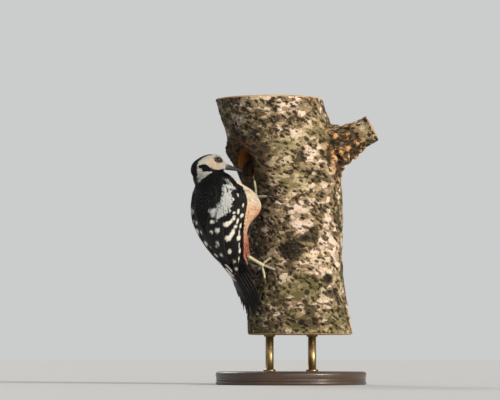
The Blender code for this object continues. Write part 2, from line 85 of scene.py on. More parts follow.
# %% Wires and finishes
class Wire:
    """An output socket that can be used in sums."""

    def __init__(self, finish, socket):
        self.finish = finish
        self.socket = socket

    def _sum(self, operation, first, second):
        return self.finish.add("ShaderNodeMath", {"operation": operation}, {0: first, 1: second})

    def __add__(self, other):
        return self._sum("ADD", self, other)

    def __sub__(self, other):
        return self._sum("SUBTRACT", self, other)

    def __rsub__(self, other):
        return self._sum("SUBTRACT", other, self)

    def __mul__(self, other):
        return self._sum("MULTIPLY", self, other)

    __radd__ = __add__
    __rmul__ = __mul__


class Finish:
    """A material, and the few ways in which this lesson builds one."""

    def __init__(self, name, **constants):
        self.material = bpy.data.materials.new(name)
        self.material.use_nodes = True
        self.tree = self.material.node_tree
        self.shader = self.tree.nodes["Principled BSDF"]
        for socket, value in constants.items():
            self.shader.inputs[socket.replace("_", " ")].default_value = value

    def add(self, kind, settings=None, inputs=None, output=0):
        """Adds a node: its settings first, then the values or wires of its sockets."""
        node = self.tree.nodes.new(kind)
        for name, value in (settings or {}).items():
            setattr(node, name, value)
        for socket, value in (inputs or {}).items():
            self.feed(node.inputs[socket], value)
        return Wire(self, node.outputs[output])

    def feed(self, target, value):
        if isinstance(value, Wire):
            self.tree.links.new(value.socket, target)
        else:
            target.default_value = value

    def place(self, stretch=(1, 1, 1)):
        """Object coordinates, in metres, stretched along each axis."""
        spot = self.add("ShaderNodeTexCoord", output="Object")
        return self.add("ShaderNodeMapping", {}, {"Vector": spot, "Scale": stretch})

    def attribute(self, name, output="Fac"):
        return self.add("ShaderNodeAttribute", {"attribute_name": name}, output=output)

    def speckle(self, size, detail=2, stretch=(1, 1, 1), seed=0.0, rough=0.5):
        """Cloudy noise from 0 to 1 whose blots are about size metres across."""
        spot = self.add("ShaderNodeVectorMath", {}, {0: self.place(stretch), 1: (seed, seed, seed)})
        values = {"Vector": spot, "Scale": 1 / size, "Detail": detail, "Roughness": rough}
        return self.add("ShaderNodeTexNoise", {}, values)

    def step(self, value, low, high, start=0.0, end=1.0):
        """A smooth rise from start to end while value goes from low to high."""
        inputs = {"Value": value, "From Min": low, "From Max": high,
                  "To Min": start, "To Max": end}
        return self.add("ShaderNodeMapRange", {"interpolation_type": "SMOOTHSTEP"}, inputs)

    def blend(self, factor, first, second, kind="MIX"):
        """Mixes two colours, given as wires or as linear red, green and blue."""
        inputs = {0: factor, 6: opaque(first), 7: opaque(second)}
        settings = {"data_type": "RGBA", "blend_type": kind}
        return self.add("ShaderNodeMix", settings, inputs, output=2)

    def finish(self, colour=None, rough=None, height=None, distance=MM):
        """Joins colour, roughness and a bump height to the surface."""
        if colour is not None:
            self.feed(self.shader.inputs["Base Color"], colour)
        if rough is not None:
            self.feed(self.shader.inputs["Roughness"], rough)
        if height is not None:
            inputs = {"Height": height, "Distance": distance, "Strength": 1.0}
            bump = self.add("ShaderNodeBump", {}, inputs)
            self.feed(self.shader.inputs["Normal"], bump)
        return self.material


def opaque(colour):
    return colour if isinstance(colour, Wire) else (*colour, 1.0)


def tone(red, green, blue):
    """A colour picked on screen, 0 to 255, as linear light."""
    return tuple(((c / 255 + 0.055) / 1.055) ** 2.4 if c > 10 else c / 255 / 12.92
                 for c in (red, green, blue))


print("a mid grey is", round(tone(128, 128, 128)[0], 3), "in linear light")

# %% [markdown]
# ## Meshes in and out
# Every piece ends as one mesh object at the origin, riding on the frame. New forms start
# as a bmesh shape that operators grow. A solid of the frame is loose triangles, so its
# copy is merged before it is used. A voxel remesh then joins copies into one skin: it is
# the quick way to lose the seams between head, neck, body and wings.


# %% Helpers for meshes
def new_piece(name, source, *materials):
    """Makes a smooth mesh object from a bmesh or a mesh, and lets it ride on the frame."""
    mesh = source
    if isinstance(source, bmesh.types.BMesh):
        mesh = bpy.data.meshes.new(name)
        source.to_mesh(mesh)
        source.free()
    mesh.name = name
    for material in materials:
        mesh.materials.append(material)
    mesh.shade_smooth()
    made = bpy.data.objects.new(name, mesh)
    bpy.context.scene.collection.objects.link(made)
    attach(made, "root")
    print(f"{name}: {len(mesh.polygons)} faces")
    return made


def merged_copy(names, swell=0.0):
    """The frame's solids as one bmesh with shared corners, pushed out by swell."""
    bm = bmesh.new()
    for name in names:
        bm.from_mesh(frame["nodes"][name].data)
    bmesh.ops.remove_doubles(bm, verts=bm.verts, dist=1e-6)
    bm.normal_update()
    for vert in bm.verts:
        vert.co += vert.normal * swell
    return bm


def remeshed(bm, voxel, smooth_steps=2):
    """One closed even surface round everything in bm."""
    mesh = bpy.data.meshes.new("remesh_source")
    bm.to_mesh(mesh)
    bm.free()
    holder = bpy.data.objects.new("remesh_source", mesh)
    bpy.context.scene.collection.objects.link(holder)
    remesh = holder.modifiers.new("even", "REMESH")
    remesh.mode = "VOXEL"
    remesh.voxel_size = voxel
    graph = bpy.context.evaluated_depsgraph_get()
    result = bpy.data.meshes.new_from_object(holder.evaluated_get(graph))
    bpy.data.objects.remove(holder)
    bpy.data.meshes.remove(mesh)
    even = bmesh.new()
    even.from_mesh(result)
    bpy.data.meshes.remove(result)
    for _ in range(smooth_steps):
        bmesh.ops.smooth_vert(even, verts=even.verts, factor=0.5,
                              use_axis_x=True, use_axis_y=True, use_axis_z=True)
    even.normal_update()
    return even


def corners(mesh):
    """A mesh's corner places, as rows of x, y, z."""
    flat = np.zeros(len(mesh.vertices) * 3, np.float32)
    mesh.vertices.foreach_get("co", flat)
    return flat.reshape(-1, 3).astype(float)


def paint(mesh, name, values):
    """Keeps a colour or a number for each corner, for the finish to read."""
    values = np.asarray(values, np.float32)
    if values.ndim == 1:
        mesh.attributes.new(name, "FLOAT", "POINT").data.foreach_set("value", values)
    else:
        colours = np.ones((len(values), 4), np.float32)
        colours[:, :3] = values
        mesh.attributes.new(name, "FLOAT_COLOR", "POINT").data.foreach_set("color", colours.ravel())


def places_and_normals(bm):
    """The corners of a bmesh and the way each one faces, as rows of x, y, z."""
    return np.array([v.co for v in bm.verts]), np.array([v.normal for v in bm.verts])


def move_corners(bm, moves):
    """Moves every corner of a bmesh by its own row of x, y, z."""
    for vert, move in zip(bm.verts, moves):
        vert.co += Vector(move)


def ease(value, low, high):
    """0 below low, 1 above high, and a smooth rise between."""
    t = np.clip((value - low) / (high - low), 0, 1)
    return t * t * (3 - 2 * t)


print("helpers ready")

# %% [markdown]
# ## The trunk: one rough surface from two solids
# The trunk has scaly bark, a nest hole with a thick lip under a burr, and a cut branch with
# a swollen collar and a flaky burl below it. A plain cylinder with a bump map would keep a
# smooth outline, so the trunk and the branch are joined by a remesh and every corner is
# moved: pale plates stay proud, dark slits sink in. What each corner belongs to is kept as
# a few numbers from 0 to 1, so that the finish and the relief agree.

# %% Where things are on the trunk
TRUNK_SETBACK = 0.008         # how far behind the frame's middle the trunk's axis runs
# height, and the axis's place along X
TRUNK_COURSE = ((0.061, 0.0098), (0.165, 0.0049), (0.222, 0.0060), (0.287, -0.0095),
                (0.350, -0.0256))
BARK_ARC = 0.062              # metres along the bark for each radian round the trunk
KNOT_ARC = 0.060              # the same among the knots, where the trunk is slimmer
HOLE_ANGLE = math.radians(219.5)
HOLE_HEIGHT = 0.268
HOLE_HALF_WIDTH = 0.0155
HOLE_HALF_TALL = 0.0165
BIRD_ANGLE = math.radians(182)
BRANCH_WAY = (0.87, -0.12, 0.47)
COLLAR_MIDDLE = (0.062, 0.0, 0.283)
BURL_MIDDLE = (0.063, -0.020, 0.271)
BURL_SIZE = 0.016
# angle round the trunk in degrees, height, size
KNOTS = ((-97, 0.163, 0.021), (-52, 0.128, 0.010), (30, 0.215, 0.011), (120, 0.150, 0.014))
BARK_VOXEL = 0.00129

trunk_low, trunk_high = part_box("perch_trunk")
print("the trunk is", round((trunk_high.z - trunk_low.z) * 1000), "mm long")


# %% Ways to measure and to roughen the trunk
def trunk_axis(height):
    """How far along X the trunk's middle is at a height."""
    heights, middles = zip(*TRUNK_COURSE)
    return np.interp(height, heights, middles)


def from_axis(points):
    """The level way from the trunk's axis to each point, as x, y and 0."""
    setback = np.full(len(points), TRUNK_SETBACK)
    return points - np.stack([trunk_axis(points[:, 2]), setback, points[:, 2]], 1)


def clouds(points, size, octaves=3, stretch=1.0, seed=0.0):
    """Smooth noise, about -1 to 1, that is stretched level across the trunk."""
    scale = np.array([1, 1, stretch]) / size
    moved = points * scale + seed
    return np.array([noise.fractal(Vector(p), 0.9, 2.1, octaves) for p in moved])


def slits(points, size, stretch):
    """0 in the middle of scattered level slits, rising to 1 between them."""
    moved = points * (np.array([1, 1, stretch]) / size)
    return np.array([noise.voronoi(Vector(p), distance_metric="DISTANCE")[0][0] for p in moved])


def swelling(turn, height, half_width, half_tall):
    """1 where turn and height are 0, falling off like a low hill."""
    return np.exp(-(turn * BARK_ARC / half_width) ** 2 - (height / half_tall) ** 2)


print("the axis passes the hole at x =", round(float(trunk_axis(HOLE_HEIGHT)) * 1000, 1), "mm")

# %% Each corner's place on the trunk
bark_form = remeshed(merged_copy(("perch_trunk", "perch_branch"), 0.0002), BARK_VOXEL, 1)
spots, outward = places_and_normals(bark_form)
spot_height = spots[:, 2]
away_x, away_y, _ = from_axis(spots).T
round_trunk = np.arctan2(away_y, away_x)
radius = np.hypot(away_x, away_y)


def turn_from(start):
    """The angle from start to each corner, round the trunk, from -pi to pi."""
    return (round_trunk - start + math.pi) % (2 * math.pi) - math.pi


hole_turn = turn_from(HOLE_ANGLE)
above_hole = spot_height - HOLE_HEIGHT
hole_distance = np.hypot(hole_turn * BARK_ARC, above_hole)
hole_share = np.hypot(hole_turn * BARK_ARC / HOLE_HALF_WIDTH, above_hole / HOLE_HALF_TALL)
in_hole = ease(1.10 - hole_share, 0, 0.08) * ease(0.0665 - radius, 0, 0.003)
past_ends = np.maximum(trunk_low.z - spot_height, spot_height - trunk_high.z)
sawn = ease(past_ends + 0.0016, 0, 0.0006)
branch_end = ease(np.abs(outward @ np.array(BRANCH_WAY)), 0.93, 0.98)
sawn = np.maximum(sawn, branch_end * ease(spots[:, 0], 0.086, 0.092))
print("corners inside the hole:", int((in_hole > 0.5).sum()))

# %% Slits, knots, collar and lip
slanted = spots.copy()
slanted[:, 2] += 0.35 * round_trunk * KNOT_ARC * np.where(round_trunk < 0, 1, -1)
slanted += 0.0025 * np.stack([clouds(spots, 0.018, 2, 1, s) for s in (3, 7, 11)], 1)
knot = np.zeros(len(spots))
for degrees, height, size in KNOTS:
    knot_turn = turn_from(math.radians(degrees))
    from_knot = np.hypot(knot_turn * KNOT_ARC, (spot_height - height) * 1.25)
    knot = np.maximum(knot, ease(size - from_knot, 0, size * 0.6))
    slanted[:, 2] += 0.006 * np.exp(-(from_knot / size) ** 2)

slit = slits(slanted, 0.0088, 1.6)
small_slit = slits(slanted + 0.5, 0.0046, 1.6)
patchy = clouds(slanted, 0.030, 3, 1.2, 20.0)
grain = clouds(slanted, 0.006, 4, 1.8, 40.0)
flakes = clouds(spots, 0.0045, 4, 0.55, 60.0)
lumps = 0.5 - slits(spots + 0.3, 0.0105, 0.9)
heaves = clouds(spots, 0.016, 2, 1.4, 80.0)
collar = ease(0.046 - np.linalg.norm(spots - np.array(COLLAR_MIDDLE), axis=1), 0, 0.016)
lip = ease(0.040 - hole_distance, 0, 0.014) * (1 - in_hole)
overhang = lip * (0.35 + 0.65 * ease(spot_height, HOLE_HEIGHT - 0.006, HOLE_HEIGHT + 0.010))
burr = swelling(hole_turn + 0.40, spot_height - 0.288, 0.012, 0.010)
burl = np.exp(-(np.linalg.norm(spots - np.array(BURL_MIDDLE), axis=1) / BURL_SIZE) ** 2)
rough = ease(patchy, 0.0, 0.5) * 0.75 + knot * 0.8 + collar * 0.8 + overhang * 0.9
rough = np.clip(rough, 0, 1)
dark = 1.25 * ease(0.46 - slit, 0, 0.24) + 0.8 * ease(0.34 - small_slit, 0, 0.2)
dark = np.clip(np.clip(dark, 0, 1) + rough * ease(grain, -0.25, 0.35) * 0.9, 0, 1)
print("the bark's mean darkness is", round(float(dark.mean()), 2))


# %% Relief
def near_nodes(points, words, margin=0.003):
    """Whether each point is within a margin of the box of a node whose name starts so."""
    near = np.zeros(len(points), bool)
    for node in frame["nodes"]:
        if node.startswith(words):
            low, high = (np.array(corner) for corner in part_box(node))
            near |= np.all((points > low - margin) & (points < high + margin), axis=1)
    return near


relief = -0.0009 * dark + 0.00025 * (1 - dark) + 0.0006 * np.clip(grain, -1, 0.4) * rough
relief += collar * (0.0011 * flakes + 0.0042 * lumps) - knot * 0.0012
relief += overhang * 0.0008 * flakes
relief += 0.0008 * heaves * (1 - collar)
relief += burr * (0.0060 + 0.0034 * flakes) + burl * (0.0062 + 0.0085 * lumps)
relief += 0.0024 * swelling(turn_from(BIRD_ANGLE), spot_height - 0.188, 0.018, 0.016)
under_bird = near_nodes(spots, ("toe", "claw", "tail"))
relief = np.where(under_bird, np.minimum(relief, 0.0002), relief)
relief = np.where(in_hole + sawn > 0.3, 0.00012 * flakes, relief)
move_corners(bark_form, outward * relief[:, None])
bark = new_piece("bark", bark_form)

# %% What the finish of the bark reads
# Real weathering and painted shade at once: the bark's left and back side, away from the key lamp,
# and the knots are marked to be darker, greyer and more worn
weathered_and_shaded = ease(-np.cos(round_trunk + 0.45), -0.30, 0.50) * 0.9 + knot * 0.8
shaded = np.maximum(ease(0.046 - hole_distance, 0, 0.022) * (1 - in_hole), knot)
sunny = ease(np.cos(round_trunk + 0.15), 0.72, 1.0)
low_down = ease(-spot_height + 0.014 * patchy, -0.150, -0.105)
off_branch = (1 - collar) * ease(-spots[:, 0], -0.074, -0.064)
# Painted shade: under_branch is 1 below the branch, where the collar is painted a darker brown
under_branch = ease(0.302 + 0.5 * (spots[:, 0] - 0.055) - spot_height, -0.004, 0.010)
for word, values in (
        ("Dark", dark),
        ("Rough", rough),
        ("Weathered", np.clip(weathered_and_shaded, 0, 1)),
        ("Shaded", np.maximum(shaded, burr) * (1 - 0.5 * collar)),
        ("Mossy", np.clip(low_down + 0.6 * sunny, 0, 1) * off_branch),
        ("Brown", np.maximum(collar * (0.25 + 0.75 * under_branch), overhang)),
        ("Lump", np.maximum(collar, burl) * ease(lumps, -0.05, 0.22)),
        ("Hole", in_hole),
        # Deep is painted shade: the hole's wood is darkened the further in it lies
        ("Deep", ease(0.0600 - radius, 0, 0.014) * in_hole),
        ("Sawn", sawn)):
    paint(bark.data, word, values)
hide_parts("perch_trunk", "perch_branch")
print("relief runs from", round(relief.min() * 1000, 1), "to", round(relief.max() * 1000, 1), "mm")

# %% [markdown]
# ## The finish of bark
# Lit bark of this tree is pinkish white and cream in small plates, with greenish and brown
# stains, and near-black slits. The numbers kept on the corners say where the slits are;
# fine noise then breaks their edges, which would otherwise show the size of the mesh.

# %% Bark finish: plates and stains
bark_finish = Finish("bark_scaly", Roughness=0.9, Specular_IOR_Level=0.2)
add, mix, step = bark_finish.add, bark_finish.blend, bark_finish.step
speckle, mask = bark_finish.speckle, bark_finish.attribute
tilted = add("ShaderNodeMapping", {}, {"Vector": bark_finish.place(), "Rotation": (0.0, 0.33, 0.0),
                                       "Scale": (1, 1, 1.75)})
wander = add("ShaderNodeTexNoise", {},
             {"Vector": tilted, "Scale": 90, "Detail": 6, "Roughness": 0.68}, output="Color")
wander = add("ShaderNodeVectorMath", {"operation": "SCALE"}, {0: wander, "Scale": 0.0100})
warped = add("ShaderNodeVectorMath", {}, {0: tilted, 1: wander})
fine = speckle(0.0014, 5, (1, 1, 1.6), 0.0, 0.62)
broad = speckle(0.026, 4, (1, 1, 1.2), 2.0, 0.6)
stain = speckle(0.040, 3, (1, 1, 1), 9.0)
plates = {"Vector": warped, "Scale": 115, "Randomness": 1.0}
small_plates = {"Vector": warped, "Scale": 360, "Randomness": 1.0}
plate_edge = add("ShaderNodeTexVoronoi", {"feature": "DISTANCE_TO_EDGE"}, plates)
small_edge = add("ShaderNodeTexVoronoi", {"feature": "DISTANCE_TO_EDGE"}, small_plates)
own_tone = add("ShaderNodeTexVoronoi", {"feature": "F1"}, plates, output="Color")
own_tone = add("ShaderNodeSeparateColor", {}, {0: own_tone})
rough, weathered_and_shaded, mossy = mask("Rough"), mask("Weathered"), mask("Mossy")
worn = own_tone * 0.46 + broad * 1.15 + fine * 0.45 + rough * 0.30
worn = worn + weathered_and_shaded * 0.22 + mossy * 0.10 - 0.19
plate = mix(step(stain, 0.40, 0.62), tone(232, 207, 186), tone(214, 190, 152))
plate = mix(step(worn, 0.72, 0.92), plate, tone(160, 137, 102))
plate = mix(step(worn, 0.95, 1.16), plate, tone(84, 70, 50))
moss = step(stain + fine * 0.3 + mossy * 0.16, 0.66, 0.90, 0, 0.65)
plate = mix(moss, plate, tone(112, 106, 62))
# Painted shade, with real weathering: the side away from the key lamp is multiplied darker and
# greyer
plate = mix(weathered_and_shaded * (0.9 - mossy * 0.5), plate, (0.44, 0.46, 0.49), "MULTIPLY")
flecks = step(speckle(0.0042, 4, (1, 1, 1.7), 17.0, 0.6), 0.56, 0.66)
plate = mix(flecks * weathered_and_shaded * 0.75, plate, tone(196, 192, 188))
plate = mix(mask("Shaded") * 0.85, plate, (0.27, 0.27, 0.26), "MULTIPLY")
# Brown is the collar's and the lip's own brown bark, made darker below the branch as painted shade
plate = mix(mask("Brown") * 0.75, plate, tone(80, 58, 36))
plate = mix(mask("Lump") * (fine * 1.2 + 0.32), plate, tone(226, 170, 112))
print("nodes for the plates:", len(bark_finish.tree.nodes))

# %% Bark finish: cracks, hole and sawn wood
breaks = step(speckle(0.007, 3, (1, 1, 1.4), 13.0), 0.44, 0.56)
crack = step(plate_edge + fine * 0.10 - broad * 0.05, 0.035, 0.11, 1.0, 0.0) * breaks
small_crack = step(small_edge + fine * 0.12, 0.06, 0.15, 0.65, 0.0)
cracked = step(worn, 0.55, 1.0, 0.35, 0.9)
slit_mask = step(mask("Dark") + (fine - 0.5) * 0.9, 0.40, 0.85)
colour = mix(small_crack * cracked, plate, tone(98, 80, 60))
colour = mix(crack * cracked, colour, tone(62, 50, 36))
colour = mix(slit_mask * (0.62 + broad * 0.5), colour, tone(36, 29, 21))
hole_wood = mix(speckle(0.0012, 3, (1, 1, 0.15), 5.0), tone(66, 40, 16), tone(158, 96, 40))
# Painted shade: deeper inside the hole the wood turns near black
hole_wood = mix(mask("Deep") * 0.8, hole_wood, tone(26, 17, 8))
colour = mix(mask("Hole"), colour, hole_wood)
PITH = (-0.0256, TRUNK_SETBACK, 0)      # the middle of the year rings of the upper end
flat_spot = add("ShaderNodeVectorMath", {"operation": "MULTIPLY"},
                {0: bark_finish.place(), 1: (1, 1, 0)})
from_pith = add("ShaderNodeVectorMath", {"operation": "DISTANCE"}, {0: flat_spot, 1: PITH},
                output="Value")
rings = add("ShaderNodeMath", {"operation": "SINE"}, {0: from_pith * 3400 + broad * 9})
sapwood = mix(step(rings, -0.6, 0.9), tone(206, 174, 126), tone(158, 118, 72))
sapwood = mix(fine * 0.35, sapwood, tone(120, 88, 56))
colour = mix(mask("Sawn"), colour, sapwood)
bark_only = step(mask("Sawn") + mask("Hole"), 0.1, 0.6, 1.0, 0.12)
height = crack * cracked * 0.6 + small_crack * 0.25 + slit_mask * 0.6
height = fine * 0.45 - height * bark_only
bark.data.materials.append(bark_finish.finish(colour, height=height, distance=0.0013))
print("bark finish has", len(bark_finish.tree.nodes), "nodes")

# %% [markdown]
# ## The bird's own directions
# Feathers follow the body, so places on the bird are given as a height, and an angle
# round it from the middle of the back, positive to the bird's right. The body's middle
# line is a short table, and a ray from outside towards that line finds the surface.
# The head is turned from the body, so its markings are told forward, to the side and up.

# %% The bird's frame
FACING = math.radians(45)
DORSAL = Vector((-math.cos(FACING), -math.sin(FACING), 0))
RIGHT = Vector((math.sin(FACING), -math.cos(FACING), 0))
BODY_MIDDLE = Vector((0.0062, 0.008, 0)) + DORSAL * 0.1175
# height, out from the body's middle, lean of the section in degrees, swing to the right
SPINE = np.array([
    (0.0828, -0.0537, 20, -0.0138), (0.0905, -0.0520, 28, -0.0126), (0.1030, -0.0462, 37, -0.0100),
    (0.1140, -0.0378, 40, -0.0076), (0.1270, -0.0265, 39, -0.0050),
    (0.1425, -0.0140, 39, -0.0020), (0.1545, -0.0060, 36, -0.0005), (0.1660, -0.0010, 27, 0.0),
    (0.1785, 0.0030, 16, 0.0), (0.1907, 0.0055, 8, 0.0), (0.2151, 0.0035, 0, 0.0),
    (0.2334, 0.0090, 0, 0.0), (0.2455, 0.0225, 0, 0.0), (0.2560, 0.0310, 0, 0.0),
])
# height, inner and outer edge of the folded wing, in degrees from the middle of the back
WING = np.array([
    (0.1225, 18, 36), (0.1270, 10, 56), (0.1425, 8, 76), (0.1603, 13, 94), (0.1785, 20, 94),
    (0.1968, 27, 89), (0.2151, 33, 88), (0.2292, 40, 95), (0.2360, 52, 101), (0.2390, 70, 98),
])
HEAD_YAW = math.radians(12)
HEAD_ROLL = math.radians(14)
HEAD_MIDDLE = BODY_MIDDLE + DORSAL * 0.0292 - RIGHT * 0.0022 + UP * 0.2623
HEAD_FORWARD = Vector((math.cos(HEAD_YAW), math.sin(HEAD_YAW), 0))
LEVEL_RIGHT = HEAD_FORWARD.cross(UP).normalized()
HEAD_UP = UP * math.cos(HEAD_ROLL) - LEVEL_RIGHT * math.sin(HEAD_ROLL)
HEAD_RIGHT = LEVEL_RIGHT * math.cos(HEAD_ROLL) + UP * math.sin(HEAD_ROLL)
EYE_PLACE = (0.0096, 0.0098, 0.0032)
EYE_RADIUS = 0.0034
BILL_ROOT = HEAD_MIDDLE + HEAD_FORWARD * 0.024 - HEAD_UP * 0.0016
print("the head's middle is", round(HEAD_MIDDLE.z * 1000), "mm up")


# %% From a point to its place on the bird, and back
def unit(vectors):
    """The same directions, each 1 long."""
    return vectors / np.maximum(np.linalg.norm(vectors, axis=1, keepdims=True), 1e-12)


def spine_at(height):
    """The body's middle, and the back's direction, at each height."""
    height = np.atleast_1d(height)
    out, lean, swing = (np.interp(height, SPINE[:, 0], SPINE[:, k]) for k in (1, 2, 3))
    middle = np.array(BODY_MIDDLE) + out[:, None] * np.array(DORSAL)
    middle += swing[:, None] * np.array(RIGHT)
    middle[:, 2] += height
    lean = np.radians(lean)[:, None]
    return middle, np.cos(lean) * np.array(DORSAL) - np.sin(lean) * np.array(UP)


def bird_places(points):
    """Height along the body and angle round it, in degrees, of points on the bird."""
    points = np.asarray(points, float)
    height = points[:, 2].copy()
    for _ in range(3):
        middle, back = spine_at(height)
        along = np.cross(back, np.array(RIGHT))
        along *= np.sign(along[:, 2:3])
        height = height + np.einsum("ij,ij->i", points - middle, along) * along[:, 2]
    middle, back = spine_at(height)
    away = points - middle
    angle = np.degrees(np.arctan2(away @ np.array(RIGHT), np.einsum("ij,ij->i", away, back)))
    return height, angle


def head_places(points):
    """How far forward, to the right and up from the head's middle points are."""
    away = np.asarray(points, float) - np.array(HEAD_MIDDLE)
    return tuple(away @ np.array(way) for way in (HEAD_FORWARD, HEAD_RIGHT, HEAD_UP))


def wing_edges(height):
    """The inner and the outer edge of the folded wing, in degrees round the body."""
    return tuple(np.interp(height, WING[:, 0], WING[:, k]) for k in (1, 2))


def wing_angle(height, across):
    """The angle round the body at a share of the way across the folded wing."""
    inner, outer = wing_edges(height)
    return inner + (outer - inner) * across


def across_wing(height, angle):
    """0 on the inner edge of the folded wing and 1 on its outer edge."""
    inner, outer = wing_edges(height)
    return (np.abs(angle) - inner) / (outer - inner)


def head_point(forward, aside, up):
    """The point at these distances from the head's middle."""
    return HEAD_MIDDLE + HEAD_FORWARD * forward + HEAD_RIGHT * aside + HEAD_UP * up


def eye_middle(side):
    """The middle of the eye on the bird's right, where side is 1, or on its left."""
    forward, out, up = EYE_PLACE
    return head_point(forward, side * out, up)


def from_eyes(points):
    """How far each point is from the nearer eye's middle."""
    return np.min([np.linalg.norm(points - np.array(eye_middle(side)), axis=1)
                   for side in (1, -1)], axis=0)


print("the tail's lowest station is", round(SPINE[0, 0] * 1000), "mm up")


# %% [markdown]
# ## Markings
# The coat is glossy black above with a white patch on each shoulder, a cream to buff front
# that turns salmon red under the tail, and a white, cream and black face. Skin and feathers
# must agree wherever a gap shows the skin, so one function answers for both: it takes
# places and gives colours. Patches are unions of a few ovals or lie between simple lines.

# %% Markings of the coat
BLACK = tone(6, 6, 8)
WING_BLACK = tone(21, 18, 15)
WHITE = tone(236, 231, 220)
PATCH_WHITE = tone(194, 195, 190)
CREAM = tone(250, 230, 200)
FOREHEAD = tone(220, 206, 184)
CHEEK = tone(255, 232, 202)
PEACH = tone(255, 206, 164)
SALMON = tone(246, 152, 118)

# the white shoulder patch: height, angle, half its height in mm, half its width in degrees
SHOULDER_PATCH = ((0.2462, 72, 3.2, 6), (0.2405, 77, 2.8, 7), (0.2505, 98, 1.5, 6),
                  (0.2350, 62, 3.4, 13), (0.2310, 56, 3.4, 9), (0.2250, 51, 5.0, 9),
                  (0.2185, 47, 5.0, 11), (0.2130, 43, 4.0, 13), (0.2078, 36, 3.2, 19),
                  (0.2040, 33, 2.6, 13), (0.2082, 18, 2.6, 5))
LEFT_PATCH_TURN = 16          # degrees that the left patch sits further round
# the black stripe from the bill under the cheek: forward, and up, in mm from the head's middle
STRIPE_TOP = ((-16.2, -13.5, -10.4, -5.2, -2.4, 1.0, 4.1, 9.5, 14.7, 19.0),
              (-4.8, -3.2, -2.6, -3.6, -6.2, -8.0, -8.5, -8.1, -6.4, -5.0))
STRIPE_FOOT = ((-16.0, -13.7, -10.4, -3.8, 0.8), (-5.0, -7.6, -11.6, -12.6, -12.8))
# the front of the black cap: up, and forward; the top of the black back: forward, and up
CAP_EDGE = ((-21.0, -14.7, -10.0, -4.0, 1.0, 5.5, 8.5, 10.0),
            (-13.1, -15.7, -16.6, -16.3, -14.5, -9.0, -3.0, 2.6))
SHOULDER_LINE = ((-16.0, -13.6, -5.0, 0.4, 2.9), (-24.0, -21.6, -16.9, -13.6, -12.1))
# where the pale front meets the black back: heights, and degrees from the middle of the back
FRONT_EDGE = ((0.150, 0.160, 0.180, 0.200, 0.215, 0.229, 0.239, 0.250, 0.260),
              (97, 94, 92, 87, 86, 93, 103, 120, 124))
print("ovals in a shoulder patch:", len(SHOULDER_PATCH))


# %% From places to colours
def ovals(height, angle, patches):
    """1 inside any of some ovals on the body and 0 outside, with a soft edge."""
    inside = np.zeros(len(height))
    turn = np.where(angle > 0, angle, -angle - LEFT_PATCH_TURN)
    for at_height, at_angle, tall, wide in patches:
        away = np.hypot((height - at_height) / (tall * MM), (turn - at_angle) / wide)
        inside = np.maximum(inside, 1 - ease(away, 0.85, 1.15))
    return inside


def plain(colour, count):
    """One colour, repeated."""
    return np.tile(np.array(colour), (count, 1))


def lay(colours, mask, colour):
    """Lays one colour, or a colour for each point, over the rest where mask is 1."""
    return colours + (np.array(colour) - colours) * mask[:, None]


def front_colours(height, turn):
    """The pale front: cream above, peach on the belly, salmon down to the vent, where painted shade
    darkens it.
    """
    belly = lay(plain(CREAM, len(height)), ease(-height, -0.219, -0.209), PEACH)
    belly = lay(belly, ease(-height, -0.2110, -0.2010) * ease(turn, 112, 132), SALMON)
    belly = lay(belly, ease(-height, -0.192, -0.160) * 0.9, SALMON)
    # Painted shade: up to 40% darker below the belly, towards the vent under the tail
    return belly * (1 - 0.40 * ease(-height, -0.176, -0.160))[:, None]


def face_colours(forward, aside, up):
    """The pale parts of the head, in mm from its middle."""
    face = plain(WHITE, len(up))
    throat = ease(-up, 8.0, 10.5) * ease(forward, -2, 3) * ease(-np.abs(aside), -9, -6)
    face = lay(face, throat, CREAM)
    beside = ease(np.abs(aside), 5, 7)
    face = lay(face, ease(9.5 - np.hypot((forward - 3.2) / 1.15, up + 2.5), 0, 2) * beside, CHEEK)
    face = lay(face, ease(forward, 4, 8) * ease(up, 4.5, 6.5), FOREHEAD)
    smudge = 5.8 - np.hypot((forward - 9.0) / 1.25, (up - 3.0) / 0.80)
    return lay(face, ease(smudge, 0, 1.6) * beside * 0.9, tone(54, 44, 38))


def markings(points):
    """The colour of the coat at each point, as linear light."""
    height, angle = bird_places(points)
    turn = np.abs(angle)
    forward, aside, up = (v / MM for v in head_places(points))

    front_edge = np.interp(height, *FRONT_EDGE)
    front = ease(turn, front_edge - 2, front_edge + 2)
    belly = front_colours(height, turn)
    colours = lay(plain(BLACK, len(height)), front, belly)
    colours = lay(colours, ovals(height, angle, SHOULDER_PATCH), PATCH_WHITE)

    breast = ease(-up, 11.5, 13.5) * front
    stripe = ease(np.interp(forward, *STRIPE_TOP) - up, 0, 0.8) * ease(forward, -16.4, -15.4)
    stripe = stripe * ease(np.abs(aside), 3.6, 5.2)
    under = ease(np.interp(forward, *STRIPE_FOOT) - up, 0, 0.8) * ease(0.8 - forward, 0, 1.0)
    back = ease(np.interp(forward, *SHOULDER_LINE) - up, 0, 0.8) * ease(turn, 0, 1) * (1 - front)
    cap = ease(np.interp(up, *CAP_EDGE) - forward, 0, 0.8)
    black = np.maximum(np.maximum(stripe * (1 - under), back), cap) * (1 - breast)
    face = lay(face_colours(forward, aside, up), black, BLACK)
    face = lay(face, breast, belly)
    return lay(colours, ease(up, -24, -22) * ease(height, 0.2405, 0.2425), face)


print("cream is", [round(c, 2) for c in CREAM])

# %% [markdown]
# ## Skin
# The solids of head, neck, body, thighs, wings and tail already reach out to the feather
# tips. A remesh of all of them gives that outer form without seams, and it is kept to lay
# feathers on. The skin is the same form drawn in by the depth of the coat: little on the
# face, more on the belly. It stops at the root of the tail, below which there is nothing
# but feathers.
# The lids are part of the skin: a rolled rim round each eye.

